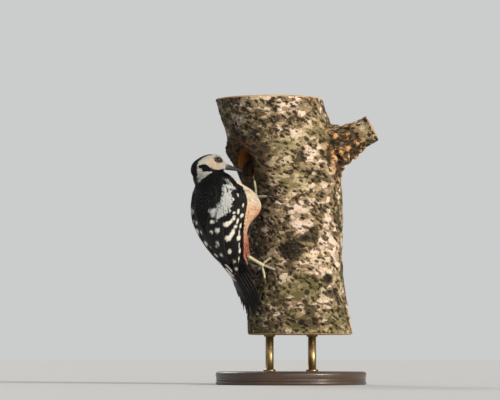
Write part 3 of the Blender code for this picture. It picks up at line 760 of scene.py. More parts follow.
# %% Outer form, and the skin drawn in from it
FLESH = ("head", "neck", "body", "thigh_right", "thigh_left", "wing_right", "wing_left", "tail")
SKIN_VOXEL = 0.0012
SKIN_FOOT = 0.136


def coat_depth(points):
    """How deep the coat is at each point."""
    height, angle = bird_places(points)
    forward, aside, up = head_places(points)
    on_head = ease(up, -0.020, -0.012)
    depth = 0.0021 - 0.0011 * on_head + 0.0016 * ease(-height, -0.150, -0.141)
    return depth - 0.0007 * ease(forward, 0.010, 0.018) * on_head


skin_form = remeshed(merged_copy(FLESH, 0.00025), SKIN_VOXEL, 3)
HULL = BVHTree.FromBMesh(skin_form)      # the outer form, before it is drawn in
hull_spots, _ = places_and_normals(skin_form)
for vert, depth in zip(skin_form.verts, coat_depth(hull_spots)):
    vert.co -= vert.normal * depth
everything = skin_form.verts[:] + skin_form.edges[:] + skin_form.faces[:]
sliced = bmesh.ops.bisect_plane(skin_form, geom=everything, plane_co=(0, 0, SKIN_FOOT),
                                plane_no=(0, 0, -1), clear_outer=True)
rim_edges = [e for e in sliced["geom_cut"] if isinstance(e, bmesh.types.BMEdge)]
bmesh.ops.holes_fill(skin_form, edges=rim_edges)
print("the outer form has", len(hull_spots), "corners")

# %% Lids
# how wide and how far out each ring of the lid is, against the eye's radius
LID_RINGS = ((0.98, 0.10), (1.05, 0.36), (1.16, 0.40), (1.27, 0.22), (1.34, -0.10), (1.32, -0.45))


def eye_axes(side):
    """The middle of an eye, and the directions outward, forward and up round it."""
    middle = eye_middle(side)
    outward = (HEAD_RIGHT * side + HEAD_FORWARD * 0.28 + HEAD_UP * 0.10).normalized()
    ahead = (HEAD_FORWARD - outward * HEAD_FORWARD.dot(outward)).normalized()
    return middle, outward, ahead, outward.cross(ahead) * side


def lid(bm, side):
    """A rolled rim round the eye: a small ring, drawn out to a corner at each end."""
    middle, outward, ahead, above = eye_axes(side)
    ring = bmesh.ops.create_circle(bm, segments=36, radius=1.0)["verts"]
    edges = list({e for v in ring for e in v.link_edges})
    rows = [list(ring)]
    for _ in LID_RINGS[1:]:
        grown = bmesh.ops.extrude_edge_only(bm, edges=edges)["geom"]
        rows.append([g for g in grown if isinstance(g, bmesh.types.BMVert)])
        edges = [g for g in grown if isinstance(g, bmesh.types.BMEdge)
                 and all(v in rows[-1] for v in g.verts)]
    for row, (reach, rise) in zip(rows, LID_RINGS):
        for vert in row:
            turn = math.atan2(vert.co.y, vert.co.x)
            corner = 1 + 0.10 * abs(math.cos(turn)) ** 3 - 0.07 * abs(math.sin(turn))
            folds = 1 + 0.02 * math.sin(turn * 14)
            opening = EYE_RADIUS * 0.80 * reach * corner * folds
            stand = EYE_RADIUS * (0.50 + 0.5 * rise)
            vert.co = (middle + ahead * opening * math.cos(turn)
                       + above * opening * math.sin(turn) + outward * stand)


for side in (1, -1):
    lid(skin_form, side)
bmesh.ops.recalc_face_normals(skin_form, faces=skin_form.faces)
skin = new_piece("skin", skin_form)

# %% What colours the skin
LID_REACH = 0.0046
skin_spots = corners(skin.data)
# Painted shade: the skin is 0.85 as bright as the coat over it, for the gaps between feathers where
# it shows
skin_colours = markings(skin_spots) * 0.85
on_lids = ease(LID_REACH - from_eyes(skin_spots), 0, 0.0006)
skin_colours = lay(skin_colours, on_lids, tone(30, 26, 23))
skin_colours = lay(skin_colours, ease(-skin_spots[:, 2], -0.146, -0.142), BLACK)
paint(skin.data, "Tint", skin_colours)
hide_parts("head", "neck", "body", "thigh_right", "thigh_left")
print("skin reaches down to", round(float(skin_spots[:, 2].min()), 3))

# %% [markdown]
# ## One vane, thousands of times
# A feather here is a vane: a thin closed lens of mesh, longer than wide. Hair systems would
# be lost in a plain mesh file, so vanes are real faces. A grid is doubled, its
# two layers are joined along their rim, and that template is repeated with arrays of
# places. Small feathers get few faces, long ones get enough to follow the wing.


# %% The vane template and its repeats
def vane_template(columns, rows):
    """A lens of two grids joined at the rim: across -1 to 1, along 0 to 1, side -1 to 1."""
    bm = bmesh.new()
    bmesh.ops.create_grid(bm, x_segments=columns - 1, y_segments=rows - 1, size=1)
    upper = bm.faces[:]
    lower = bmesh.ops.duplicate(bm, geom=bm.verts[:] + bm.edges[:] + upper)["geom"]
    lower_verts = [g for g in lower if isinstance(g, bmesh.types.BMVert)]
    bmesh.ops.reverse_faces(bm, faces=[g for g in lower if isinstance(g, bmesh.types.BMFace)])
    for vert in bm.verts:
        vert.co.z = 0 if vert.is_boundary else 1
    for vert in lower_verts:
        vert.co.z = -vert.co.z
    bmesh.ops.remove_doubles(bm, verts=bm.verts, dist=1e-4)
    bm.verts.index_update()
    coords = np.array([v.co for v in bm.verts])
    faces = np.array([[v.index for v in f.verts] for f in bm.faces])
    bm.free()
    coords[:, 1] = (coords[:, 1] + 1) / 2
    return coords, faces


def chart_sheet(template, charts, patch=0.003):
    """A bake map on which each copy has a small patch at its own place of a chart."""
    coords, faces = template
    low, high = charts.min(0), charts.max(0)
    inner = 0.004 + (charts - low) / (high - low) * 0.988
    spread = np.stack([coords[:, 0] * 0.5, coords[:, 1] - 0.5], 1) * patch
    return (inner[:, None] + spread[None])[:, faces]


def cell_sheet(template, count):
    """A bake map on which each copy has a square cell, its upper layer beside its lower."""
    coords, faces = template
    per_side = math.ceil(math.sqrt(count))
    cells = np.array([(k % per_side, k // per_side) for k in range(count)]) / per_side
    layer = np.where(coords[faces, 2].min(1) < 0, 0.515, 0.015)[:, None]
    column = (coords[faces, 0] + 1) / 4 * 0.94 + layer
    cell = np.stack([column, coords[faces, 1] * 0.96 + 0.02], -1)
    return cells[:, None, None] + cell[None] * (1 / per_side)


def repeated(name, template, places, tints, sheet, *materials):
    """Joins copies of a template: places is copy by corner by xyz, tints the colours."""
    coords, faces = template
    copies, count = places.shape[:2]
    mesh = bpy.data.meshes.new(name)
    stacked = (faces[None] + (np.arange(copies) * count)[:, None, None]).reshape(-1, 4)
    mesh.from_pydata(places.reshape(-1, 3), [], stacked)
    paint(mesh, "Tint", tints.reshape(-1, 3))
    paint(mesh, "Own", np.repeat(np.random.default_rng(5).random(copies), count))
    vane = np.tile(coords[faces, :2], (copies, 1, 1))
    for label, values in (("OFBake", sheet), ("Vane", vane)):
        layer = mesh.uv_layers.new(name=label)
        layer.data.foreach_set("uv", values.astype(np.float32).ravel())
    return new_piece(name, mesh, *materials)


SMALL_VANE = vane_template(3, 6)
LONG_VANE = vane_template(7, 30)
print("a small vane has", len(SMALL_VANE[1]), "faces, a long one", len(LONG_VANE[1]))

# %% [markdown]
# ## How the coat lies
# Feathers point away from the bill over the head, then down the body, and on the wing they
# follow its long edges. A vane's root is on the skin and its tip on the outer form, so each
# row covers the roots of the next, like shingles. Roots are scattered so that no two are
# closer than the spacing of their region: close and short on the face, wide on the back.


# %% The lie of the feathers
def nearest(tree, points):
    """The closest places on a surface, and its normals there."""
    found = [tree.find_nearest(Vector(p)) for p in points]
    return np.array([f[0] for f in found]), np.array([f[1] for f in found])


def on_form(height, angle, reach=0.03):
    """Points at a reach from the body's middle line."""
    middle, back = spine_at(height)
    turn = np.radians(angle)[:, None]
    return middle + (back * np.cos(turn) + np.array(RIGHT) * np.sin(turn)) * reach


def lie(points, normals):
    """The way that feathers point at each place on the skin."""
    height, angle = bird_places(points)
    lower = height - 0.002
    across = across_wing(height, angle)
    on_wing = ease(across, -0.1, 0.1) * ease(-height, -0.238, -0.226)
    side = np.sign(angle)
    slid = angle + (side * wing_angle(lower, across) - angle) * on_wing
    tailward = unit(on_form(lower, slid) - on_form(height, angle))
    from_bill = unit(points - np.array(BILL_ROOT))
    share = ease(height, 0.232, 0.252)[:, None]
    way = tailward * (1 - share) + from_bill * share
    way -= normals * np.einsum("ij,ij->i", way, normals)[:, None]
    return unit(way)


print("feathers on the crown point", lie(np.array([HEAD_MIDDLE + HEAD_UP * 0.012]),
                                         np.array([HEAD_UP])).round(1)[0])


# %% Roots at random
def scattered(mesh, count, seed):
    """Random places on a mesh, evenly spread, with smooth normals."""
    mesh.calc_loop_triangles()
    tris = np.zeros(len(mesh.loop_triangles) * 3, np.int32)
    mesh.loop_triangles.foreach_get("vertices", tris)
    # bmesh may give the same faces in another order next time, so the corners set the order
    tris = np.sort(tris.reshape(-1, 3), axis=1)
    tris = tris[np.lexsort(tris.T[::-1])]
    spots = corners(mesh)
    normals = np.zeros(len(mesh.vertices) * 3, np.float32)
    mesh.vertex_normals.foreach_get("vector", normals)
    normals = normals.reshape(-1, 3)
    a, b, c = (spots[tris[:, k]] for k in range(3))
    area = np.linalg.norm(np.cross(b - a, c - a), axis=1)
    draw = np.random.default_rng(seed)
    pick = draw.choice(len(tris), count, p=area / area.sum())
    r, s = draw.random(count), draw.random(count)
    r, s = np.where(r + s > 1, 1 - r, r), np.where(r + s > 1, 1 - s, s)
    weights = np.stack([1 - r - s, r, s], 1)[:, :, None]
    corner_ids = tris[pick]
    return (spots[corner_ids] * weights).sum(1), unit((normals[corner_ids] * weights).sum(1))


def spaced(points, spacing):
    """Keeps points, first come first kept, that are at least spacing apart."""
    kept = []
    cells = {}
    for k, point in enumerate(points):
        cell = tuple((point // spacing).astype(int))
        near = [j for dx in (-1, 0, 1) for dy in (-1, 0, 1) for dz in (-1, 0, 1)
                for j in cells.get((cell[0] + dx, cell[1] + dy, cell[2] + dz), ())]
        if all(np.sum((points[j] - point) ** 2) >= spacing * spacing for j in near):
            cells.setdefault(cell, []).append(k)
            kept.append(k)
    return np.array(kept)


print("of two roots in one place,", len(spaced(np.zeros((2, 3)), MM)), "is kept")


# %% Places to choose from, and the width of a vane
def outline_of(along, root=0.35, widest=0.5, tip=0.30):
    """The width of a vane along its length: narrow root, full middle, rounded tip."""
    rise = root + (1 - root) * np.sin(np.clip(along / widest, 0, 1) * math.pi / 2)
    fall = np.clip((along - widest) / (1 - widest), 0, 1)
    return np.where(along < widest, rise, tip + (1 - tip) * np.sqrt(np.clip(1 - fall ** 2.2, 0, 1)))


EYE_CLEARANCE = 0.0038
CANDIDATES, CANDIDATE_NORMALS = scattered(skin.data, 130000, 11)
CANDIDATE_HEIGHT, CANDIDATE_ANGLE = bird_places(CANDIDATES)
CANDIDATE_ACROSS = across_wing(CANDIDATE_HEIGHT, CANDIDATE_ANGLE)
CANDIDATE_FORWARD, CANDIDATE_ASIDE, CANDIDATE_UP = head_places(CANDIDATES)
USABLE = (from_eyes(CANDIDATES) > EYE_CLEARANCE) & (CANDIDATES[:, 2] > SKIN_FOOT + 0.0015)
print("places to choose from:", int(USABLE.sum()))


# %% Growing a region of the coat
def small_vanes(roots, bends, tips, normals, half, long, tip):
    """The corners of small feathers that run from roots by bends to tips."""
    way = unit(tips - roots)
    across = unit(np.cross(way, normals))
    stand = unit(np.cross(across, way))
    u, v, side = (SMALL_VANE[0][None, :, k, None] for k in range(3))
    half, long = half[:, None, None], long[:, None, None]
    line = (1 - v) ** 2 * roots[:, None] + 2 * v * (1 - v) * bends[:, None] + v ** 2 * tips[:, None]
    shape = outline_of(v, tip=tip) * (1 - 0.35 * np.abs(u) * (v > 0.99))
    line = line + across[:, None] * u * shape * half
    line = line - way[:, None] * (np.abs(u) ** 2 * ease(v, 0.6, 1.0) * 0.16) * long
    return line + stand[:, None] * ((1 - u ** 2) * 0.12 * half + side * 0.06 * MM)


def coat(name, where, spacing, length, width, seed, lift=0.2, tip=0.3, ruffle=0.10, rise=0.0):
    """Grows one region of the coat. Sizes are in mm, lift is how far the tips stand out."""
    places = np.nonzero(where & USABLE)[0]
    kept = places[spaced(CANDIDATES[places], spacing * MM)]
    roots, normals = CANDIDATES[kept], CANDIDATE_NORMALS[kept]
    draw = np.random.default_rng(seed)
    count = len(kept)
    way = lie(roots, normals)
    across = np.cross(way, normals)
    way = unit(way + across * draw.normal(0, ruffle, count)[:, None])
    long = length * MM * draw.uniform(0.82, 1.15, count)
    half = width * MM / 2 * draw.uniform(0.85, 1.15, count)
    tips, tip_normals = nearest(HULL, roots + way * long[:, None])
    tips = tips + tip_normals * ((lift + draw.uniform(-0.12, 0.12, count)) * MM)[:, None]
    middles, middle_normals = nearest(HULL, roots + way * (long * 0.5)[:, None])
    middles = middles + middle_normals * ((rise - 0.25) * MM)
    bends = 2 * middles - 0.5 * roots - 0.5 * tips
    vanes = small_vanes(roots, bends, tips, middle_normals, half, long, tip)
    tints = markings(roots + (tips - roots) * 0.72)
    tints = np.clip(tints * draw.normal(1, 0.05, count)[:, None], 0.002, 1)
    root_shade = 0.86 + 0.14 * ease(SMALL_VANE[0][:, 1], 0.1, 0.45)
    tints = tints[:, None] * root_shade[None, :, None]
    if CANDIDATE_HEIGHT[kept].mean() > 0.25:
        forward, aside, up = (v[kept] for v in (CANDIDATE_FORWARD, CANDIDATE_ASIDE, CANDIDATE_UP))
        charts = [np.arctan2(aside, up), np.arctan2(forward, np.hypot(aside, up))]
    else:
        charts = [CANDIDATE_ANGLE[kept], CANDIDATE_HEIGHT[kept] * 1000]
    sheet = chart_sheet(SMALL_VANE, np.stack(charts, 1))
    made = repeated(name, SMALL_VANE, vanes, tints, sheet, plumage)
    "plumage_black" if tints.mean() < 0.2 else "plumage_cream"


print("a small vane has", len(SMALL_VANE[0]), "corners")

# %% [markdown]
# ## The finish of feathers
# The colour comes from the corners. On top go the barbs, fine slanting lines on both sides
# of the shaft, told by the vane's own map, and a slight mottle between feathers. Black
# feathers are glossier than pale ones, which are soft.


# %% Feather finishes
def feather_finish(name, barbs, gloss_black, gloss_pale, depth):
    finish = Finish(name, Specular_IOR_Level=0.26)
    tint = finish.add("ShaderNodeAttribute", {"attribute_name": "Tint"}, output="Color")
    vane_map = finish.add("ShaderNodeUVMap", {"uv_map": "Vane"})
    across = finish.add("ShaderNodeSeparateXYZ", {}, {0: vane_map})
    along = Wire(finish, across.socket.node.outputs["Y"])
    aside = finish.add("ShaderNodeMath", {"operation": "ABSOLUTE"}, {0: across})
    own = finish.attribute("Own")
    wobble = finish.speckle(0.0009, 2)
    barb_wave = finish.add("ShaderNodeMath", {"operation": "SINE"},
                           {0: (along - aside * 0.28) * barbs + own * 9 + wobble * 2.2})
    mottle = finish.speckle(0.0022, 3, (1, 1, 1), 3.0)
    dim = finish.blend(finish.step(barb_wave, -1, 1, 0.10, 0.0), tint, (0, 0, 0))
    dim = finish.blend(finish.step(mottle, 0.3, 0.7, 0.16, 0.0), dim, (0, 0, 0))
    grey = finish.add("ShaderNodeRGBToBW", {}, {0: tint})
    lift = finish.step(aside, 0.72, 1.0, 0.0, 0.10)
    colour = finish.blend(lift, dim, tone(150, 140, 128))
    rough = finish.step(grey, 0.02, 0.35, gloss_black, gloss_pale) + mottle * 0.08
    return finish.finish(colour, rough, barb_wave * 0.5 + mottle * 0.5, depth)


plumage = feather_finish("feathers_soft", 70, 0.40, 0.74, 0.00012)
flight = feather_finish("feathers_stiff", 330, 0.44, 0.64, 0.00010)
skin_finish = Finish("skin_under_coat", Roughness=0.8, Specular_IOR_Level=0.25)
skin_tint = skin_finish.add("ShaderNodeAttribute", {"attribute_name": "Tint"}, output="Color")
down = skin_finish.speckle(0.0008, 3, (1, 1, 1))
skin_colour = skin_finish.blend(skin_finish.step(down, 0.35, 0.7, 0.25, 0.0), skin_tint, (0, 0, 0))
skin.data.materials.append(skin_finish.finish(skin_colour, down * 0.2 + 0.65, down, 0.0004))
print("finishes so far:", len(bpy.data.materials))

# %% Regions of the coat
on_head = (CANDIDATE_UP > -0.0165) & (CANDIDATE_HEIGHT > 0.2475)
on_face = on_head & (CANDIDATE_FORWARD > 0.0085)
turn = np.abs(CANDIDATE_ANGLE)
off_wing = (CANDIDATE_ACROSS < 0.04) | (CANDIDATE_ACROSS > 0.97) | (CANDIDATE_HEIGHT > 0.2365)
in_front = turn > np.interp(CANDIDATE_HEIGHT, *FRONT_EDGE)
above_rump = CANDIDATE_HEIGHT > 0.192
under_tertials = (CANDIDATE_HEIGHT < 0.196) & (turn > 8) & ~in_front
tail_edge = (CANDIDATE_HEIGHT < 0.150) & (CANDIDATE_ANGLE < -30)
on_body = ~on_head & off_wing & ~under_tertials & ~tail_edge
on_neck = ~on_head & (CANDIDATE_HEIGHT > 0.2365)
on_mantle = on_body & ~in_front & above_rump & (CANDIDATE_HEIGHT <= 0.2385)
on_shoulder = (CANDIDATE_ACROSS > -0.25) & (CANDIDATE_ACROSS < 0.42)
on_shoulder &= (CANDIDATE_HEIGHT > 0.203) & (CANDIDATE_HEIGHT <= 0.240)
on_coverts = (CANDIDATE_ACROSS >= 0.30) & (CANDIDATE_ACROSS < 0.99)
on_coverts &= (CANDIDATE_HEIGHT > 0.2195) & (CANDIDATE_HEIGHT <= 0.2375)
on_breast = on_body & in_front & (CANDIDATE_HEIGHT > 0.208)
on_belly = on_body & in_front & (CANDIDATE_HEIGHT <= 0.210) & (CANDIDATE_HEIGHT > 0.168)
on_vent = on_body & in_front & (CANDIDATE_HEIGHT <= 0.170) & (CANDIDATES[:, 2] > 0.1455)
on_rump = on_body & ~in_front & ~above_rump
print("candidates on the head:", int(on_head.sum()), "and on the body:", int(on_body.sum()))

# %% The coat, region by region
# name, region, then in mm the spacing, length and width, then the seed
coat("coat_face", on_face, 0.66, 2.5, 0.80, 21, lift=0.06, tip=0.12, rise=0.08)
coat("coat_crown", on_head & ~on_face, 0.82, 3.8, 1.0, 22, lift=0.08, tip=0.12, rise=0.08)
coat("coat_neck", on_neck, 1.10, 5.6, 1.7, 23, lift=0.15, tip=0.15)
coat("coat_mantle", on_mantle, 2.0, 7.5, 4.2, 24)
coat("coat_scapulars", on_shoulder, 1.9, 8.6, 4.6, 25, lift=0.28, rise=0.22, ruffle=0.04)
coat("coat_coverts", on_coverts, 1.7, 5.2, 3.4, 26, lift=0.35, rise=0.15)
coat("coat_breast", on_breast, 1.30, 6.5, 2.7, 27)
coat("coat_belly", on_belly, 1.30, 7.5, 2.6, 28, ruffle=0.13, lift=0.45)
coat("coat_vent", on_vent, 1.5, 8.0, 2.9, 29, ruffle=0.12, lift=0.4)
coat("coat_rump", on_rump, 1.9, 8.0, 3.8, 30)

# %% [markdown]
# ## Wing feathers
# A folded wing is a stack: tertials on top, secondaries below them, primaries lowest and
# longest, and rows of coverts over all their roots. Each long feather is laid by itself:
# its middle line runs down the wing, rays find the outer form under it, and every corner
# is set just above that form. White spots line up from feather to feather, so they are
# given as places on the whole wing, and each vane takes the part that falls on it.

# %% White spots of the wing
# height, degrees from the middle of the back, half height and half width in mm; from the
# innermost column of spots outward, each column from the top down
WING_SPOTS = (
    (0.1973, 21, 2.1, 2.5), (0.1878, 16, 1.8, 1.5), (0.1735, 13, 1.3, 1.2),
    (0.2000, 33, 2.2, 2.3), (0.1885, 30, 2.4, 2.8), (0.1770, 22, 2.2, 2.1), (0.1640, 14, 2.2, 2.1),
    (0.1940, 50, 2.6, 4.0), (0.1800, 51, 2.7, 4.0), (0.1665, 47, 2.3, 2.1), (0.1535, 51, 2.2, 2.6),
    (0.1965, 56, 2.4, 2.3), (0.2000, 62, 3.0, 2.0), (0.1825, 58, 2.4, 2.1), (0.1852, 63, 3.0, 1.9),
    (0.2205, 60, 1.9, 1.5), (0.2263, 72, 3.0, 1.0), (0.2139, 77, 2.4, 1.1), (0.2068, 69, 3.0, 1.3),
    (0.2055, 61, 1.4, 1.3), (0.2020, 78, 2.4, 2.4), (0.1962, 71, 3.2, 1.6), (0.1905, 81, 2.8, 1.3),
    (0.1898, 68, 1.8, 2.3), (0.1832, 78, 2.4, 1.3), (0.1772, 77, 2.7, 3.0), (0.1685, 77, 3.2, 0.9),
    (0.1625, 79, 2.6, 1.9), (0.1520, 73, 4.2, 1.1), (0.1435, 50, 2.4, 2.2),
)
# the same, on the left wing alone
LEFT_WING_STREAKS = ((0.1490, 48, 4.8, 1.8), (0.1850, 58, 5.0, 1.8))
# heights, and how far in mm the wing's surface is from the body's middle line
SPOT_RADIUS = ((0.13, 0.155, 0.18, 0.20, 0.22), (12, 18, 29, 35, 38))


def wing_white(height, angle):
    """How white the wing is at each place, from its spots."""
    per_degree = np.interp(height, *SPOT_RADIUS) * math.pi / 180
    spots = [(spot, np.abs(angle)) for spot in WING_SPOTS]
    spots += [(streak, -angle) for streak in LEFT_WING_STREAKS]
    white = np.zeros(len(height))
    for (at_height, at_angle, tall, wide), turn in spots:
        across = (turn - at_angle) * per_degree
        down = (height - at_height) / MM
        white = np.maximum(white, 1 - ease(np.hypot(down / tall, across / wide), 0.85, 1.12))
    return white


print("white spots on a wing:", len(WING_SPOTS))


# %% Long feathers, laid one by one
def surface_at(height, angle):
    """Where a ray from outside meets the outer form."""
    outside = on_form(height, angle, 0.09)
    middle = spine_at(height)[0]
    found = []
    for start, end in zip(outside, middle):
        hit = HULL.ray_cast(Vector(start), Vector(end - start).normalized(), 0.09)[0]
        near = Vector(end * 0.75 + start * 0.25)
        found.append(hit if hit is not None else HULL.find_nearest(near)[0])
    return np.array(found)


def long_vane(heights, angles, half, lift, tilt, tip=0.25, widest=0.35):
    """The corners of one long feather. heights and angles tell its middle line."""
    across, along, layer = LONG_VANE[0].T
    steps = np.linspace(0, 1, 31)
    line = surface_at(np.interp(steps, *heights), np.interp(steps, *angles))
    for _ in range(3):
        line[1:-1] = (line[:-2] + line[1:-1] * 2 + line[2:]) / 4
    ahead = unit(np.gradient(line, axis=0))
    away = unit(line - spine_at(np.interp(steps, *heights))[0])
    aside = unit(np.cross(ahead, away))
    line, aside, away = (np.stack([np.interp(along, steps, rows[:, k]) for k in range(3)], 1)
                         for rows in (line, aside, away))
    width = outline_of(along, root=0.4, widest=widest, tip=tip)
    width = width * (1 - 0.5 * np.abs(across) ** 3 * (along > 0.99))
    on_hull, _ = nearest(HULL, line + aside * (across * width * half)[:, None])
    rise = lift + tilt * across + layer * 0.10 * MM + 0.25 * MM * (1 - across ** 2)
    return on_hull + away * rise[:, None]


def long_feathers(name, places, tints, template, node=None):
    """Joins long feathers, each with a cell of its own on the bake map."""
    made = repeated(name, template, np.array(places), np.array(tints),
                    cell_sheet(template, len(places)), flight)
    if node:
        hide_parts(node)


print("a long feather is laid on", len(LONG_VANE[0]), "corners")

# %% Both wings
# name, count, root heights, tip heights, root across, tip across, half widths mm, lifts mm;
# each pair is for the innermost and the outermost feather of the row
WING_ROWS = (
    ("primary", 7, (0.196, 0.204), (0.158, 0.1222), (0.74, 0.93), (0.80, 0.46),
     (3.6, 4.0), (-1.1, -1.5)),
    ("secondary", 8, (0.207, 0.206), (0.148, 0.164), (0.10, 0.80), (0.02, 0.78),
     (5.2, 4.6), (-0.75, -1.05)),
    ("tertial", 4, (0.213, 0.210), (0.170, 0.156), (-0.10, 0.18), (-0.17, 0.06),
     (6.4, 6.6), (0.45, 0.0)),
    ("greater_covert", 9, (0.222, 0.220), (0.201, 0.199), (0.12, 0.90), (0.10, 0.92),
     (4.2, 3.6), (-0.15, -0.3)),
    ("median_covert", 9, (0.2290, 0.2275), (0.2125, 0.2115), (0.2, 0.92), (0.18, 0.93),
     (3.4, 3.0), (0.1, 0.0)),
)
LEFT_WING_UP = 0.011          # the left wing's tip is held a little higher
SPOT_WHITE = tuple(np.array(WHITE) * (1, 0.98, 0.93))


def wing_tints(vane, shade, primary):
    """The colours of one long feather of the wing."""
    height, angle = bird_places(vane)
    browner = ease(across_wing(height, angle), 0.45, 0.8)
    colour = lay(plain(BLACK, len(vane)), browner, WING_BLACK) * shade
    colour = lay(colour, wing_white(height, angle), SPOT_WHITE)
    if not primary:
        colour = lay(colour, ovals(height, angle, SHOULDER_PATCH), PATCH_WHITE)
    return colour


def wing_feathers(side):
    """All long feathers of one wing, as places and colours."""
    places, tints = [], []
    draw = np.random.default_rng(40 + side)
    steps = np.linspace(0, 1, 9)
    for name, count, *spans in WING_ROWS:
        primary = name == "primary"
        for k in range(count):
            share = k / (count - 1)
            roots, tips, root_in, tip_in, half, lift = (a + (b - a) * share for a, b in spans)
            tips += draw.uniform(-0.0008, 0.0008)
            if primary and side < 0:
                tips += LEFT_WING_UP * share
            heights = roots + (tips - roots) * steps
            angles = side * wing_angle(heights, root_in + (tip_in - root_in) * steps)
            vane = long_vane((steps, heights), (steps, angles), half * MM, lift * MM,
                             0.22 * MM * side, tip=0.2 if primary else 0.35, widest=0.4)
            places.append(vane)
            tints.append(wing_tints(vane, draw.uniform(0.85, 1.15), primary))
    return places, tints


for side, word in ((1, "right"), (-1, "left")):
    long_feathers("wing_feathers_" + word, *wing_feathers(side), LONG_VANE, "wing_" + word)

# %% [markdown]
# ## Tail feathers
# The tail is a prop. Its twelve feathers are stiff and pointed, the middle pair is longest
# and lies on top, and the outer ones are short, pale and barred. They are laid on the
# arched sheet that the solid tail was made from, each a little lower than the one before.
# The tail is spread to the left: its right outer feathers are drawn in under the others,
# and at the left three short outer feathers with a white streak show beside the wing.

# %% Where the tail is
# height, half width, arch, and half thickness of the tail
TAIL = np.array([
    (0.0828, 0.0075, 0.0003, 0.0006), (0.0905, 0.0150, 0.0012, 0.0008),
    (0.1030, 0.0200, 0.0024, 0.0014), (0.1140, 0.0218, 0.0035, 0.0020),
    (0.1270, 0.0222, 0.0040, 0.0030), (0.1425, 0.0200, 0.0025, 0.0045),
    (0.1545, 0.0195, 0.0010, 0.0060),
])
# for the six feathers of a side, from the middle: heights of the tips, then in mm how far
# aside roots and tips are and half the width
TAIL_TIPS = (0.0832, 0.0860, 0.0905, 0.0965, 0.1045, 0.1240)
TAIL_ROOTS_ASIDE = (1.0, 3.2, 5.6, 8.6, 12.5, 17.0)
TAIL_TIPS_ASIDE = (3.4, 7.6, 12.4, 15.8, 19.0, 20.8)
TAIL_HALF_WIDTHS = (4.6, 4.6, 4.4, 4.2, 3.8, 2.6)
# outer feathers beside the left wing: top, foot, and degrees round the body at both
LEFT_OUTER = ((0.158, 0.138, -14, -22), (0.154, 0.132, -25, -34), (0.149, 0.126, -36, -46))
RIGHT_TUCK = 6.5              # mm that the outer feathers of the right side are drawn in
TAIL_ROOT = 0.150
TAIL_BAR = 10.5               # mm from one dark bar of an outer feather to the next
TAIL_BLACK = tone(9, 9, 10)
SHAFT = vane_template(3, 20)
print("a shaft has", len(SHAFT[1]), "faces")


# %% One tail feather
def tail_place(height, aside, lift):
    """A point of the tail: aside from its middle, lifted from its arched sheet."""
    middle, back = spine_at(height)
    half, arch = (np.interp(height, TAIL[:, 0], TAIL[:, k]) for k in (1, 2))
    droop = arch * np.clip(np.abs(aside) / half, 0, 1) ** 2
    return middle + np.array(RIGHT) * aside[:, None] + back * (lift - droop)[:, None]


def tail_feather(template, k, side, half, thick, raise_by=0.0, pointed=True):
    """The corners of the k-th tail feather from the middle, or of its shaft, and heights."""
    across, along, layer = template[0].T
    height = TAIL_ROOT + (TAIL_TIPS[k] - TAIL_ROOT) * along
    middle = side * MM * (TAIL_ROOTS_ASIDE[k] * (1 - along) + TAIL_TIPS_ASIDE[k] * along)
    if k > 3 and side > 0:
        middle = middle - RIGHT_TUCK * MM
    fall = np.clip((along - 0.55) / 0.45, 0, 1)
    width = np.where(fall > 0, 1 - fall ** (1.7 if pointed else 3.5),
                     0.6 + 0.4 * np.clip(along / 0.5, 0, 1))
    aside = middle + across * half * np.maximum(width, 0.05)
    thickness = np.interp(height, TAIL[:, 0], TAIL[:, 3])
    lift = thickness * (1 - 2 * k / 5) + layer * thick + raise_by
    lift = lift + 0.3 * MM * (1 - across ** 2) - 0.15 * MM * np.abs(across)
    return tail_place(height, aside, lift), height


def tail_tints(k, side, height):
    """The colours of the k-th tail feather: black, with bars and edges of white."""
    across, along, layer = LONG_VANE[0].T
    colour = plain(TAIL_BLACK, len(across))
    if k >= 4:
        inner, outer = (-0.5, 0.3) if k == 5 else (0.2, 0.7)
        bars = ease(np.sin(height / (TAIL_BAR * MM) * 2 * math.pi + 0.8 * k), -0.55, 0.0)
        barred = bars * ease(along, 0.15, 0.3)
        seen = 1 if side < 0 else layer < 0
        colour = lay(colour, ease(across * side, inner, outer) * barred * seen, WHITE)
    if side < 0 and k in (2, 3, 4):
        colour = lay(colour, ease(-across, 0.80, 0.95) * 0.5, WHITE)
    if side < 0 and k == 3:
        streak = ease(height, 0.1235, 0.1255) * ease(-height, -0.1390, -0.1370)
        colour = lay(colour, streak * ease(-across, 0.1, 0.5), WHITE)
    return colour


print("dark bars are", TAIL_BAR, "mm apart")

# %% The whole tail
vanes, tints, shafts = [], [], []
for k, half in enumerate(TAIL_HALF_WIDTHS):
    for side in (1, -1):
        vane, height = tail_feather(LONG_VANE, k, side, half * MM, 0.10 * MM, pointed=k < 4)
        vanes.append(vane)
        tints.append(tail_tints(k, side, height))
        shafts.append(tail_feather(SHAFT, k, side, 0.24 * MM, 0.18 * MM, 0.28 * MM)[0])
across, along, _ = LONG_VANE[0].T
streak = ease(along, 0.30, 0.42) * ease(-along, -0.97, -0.90)
streak = streak * ease(-np.abs(across + 0.25), -0.85, -0.60)
for top, foot, top_turn, foot_turn in LEFT_OUTER:
    vanes.append(long_vane(((0, 1), (top, foot)), ((0, 1), (top_turn, foot_turn)),
                           2.3 * MM, 0.25 * MM, 0.1 * MM, tip=0.15))
    tints.append(lay(plain(BLACK, len(across)), streak, WHITE))
long_feathers("tail_feathers", vanes, tints, LONG_VANE, "tail")
shaft_tints = [plain(tone(58, 55, 52), len(SHAFT[0]))] * len(shafts)
long_feathers("tail_shafts", shafts, shaft_tints, SHAFT)

# %% [markdown]
# ## Eyes
# An eye is a wet ball behind lids. It is a sphere with a slightly raised window in front;
# each corner keeps how far it is from the eye's axis, and the finish turns that into
# pupil, red-brown iris and dark rim. A clear coat gives the wet gloss.

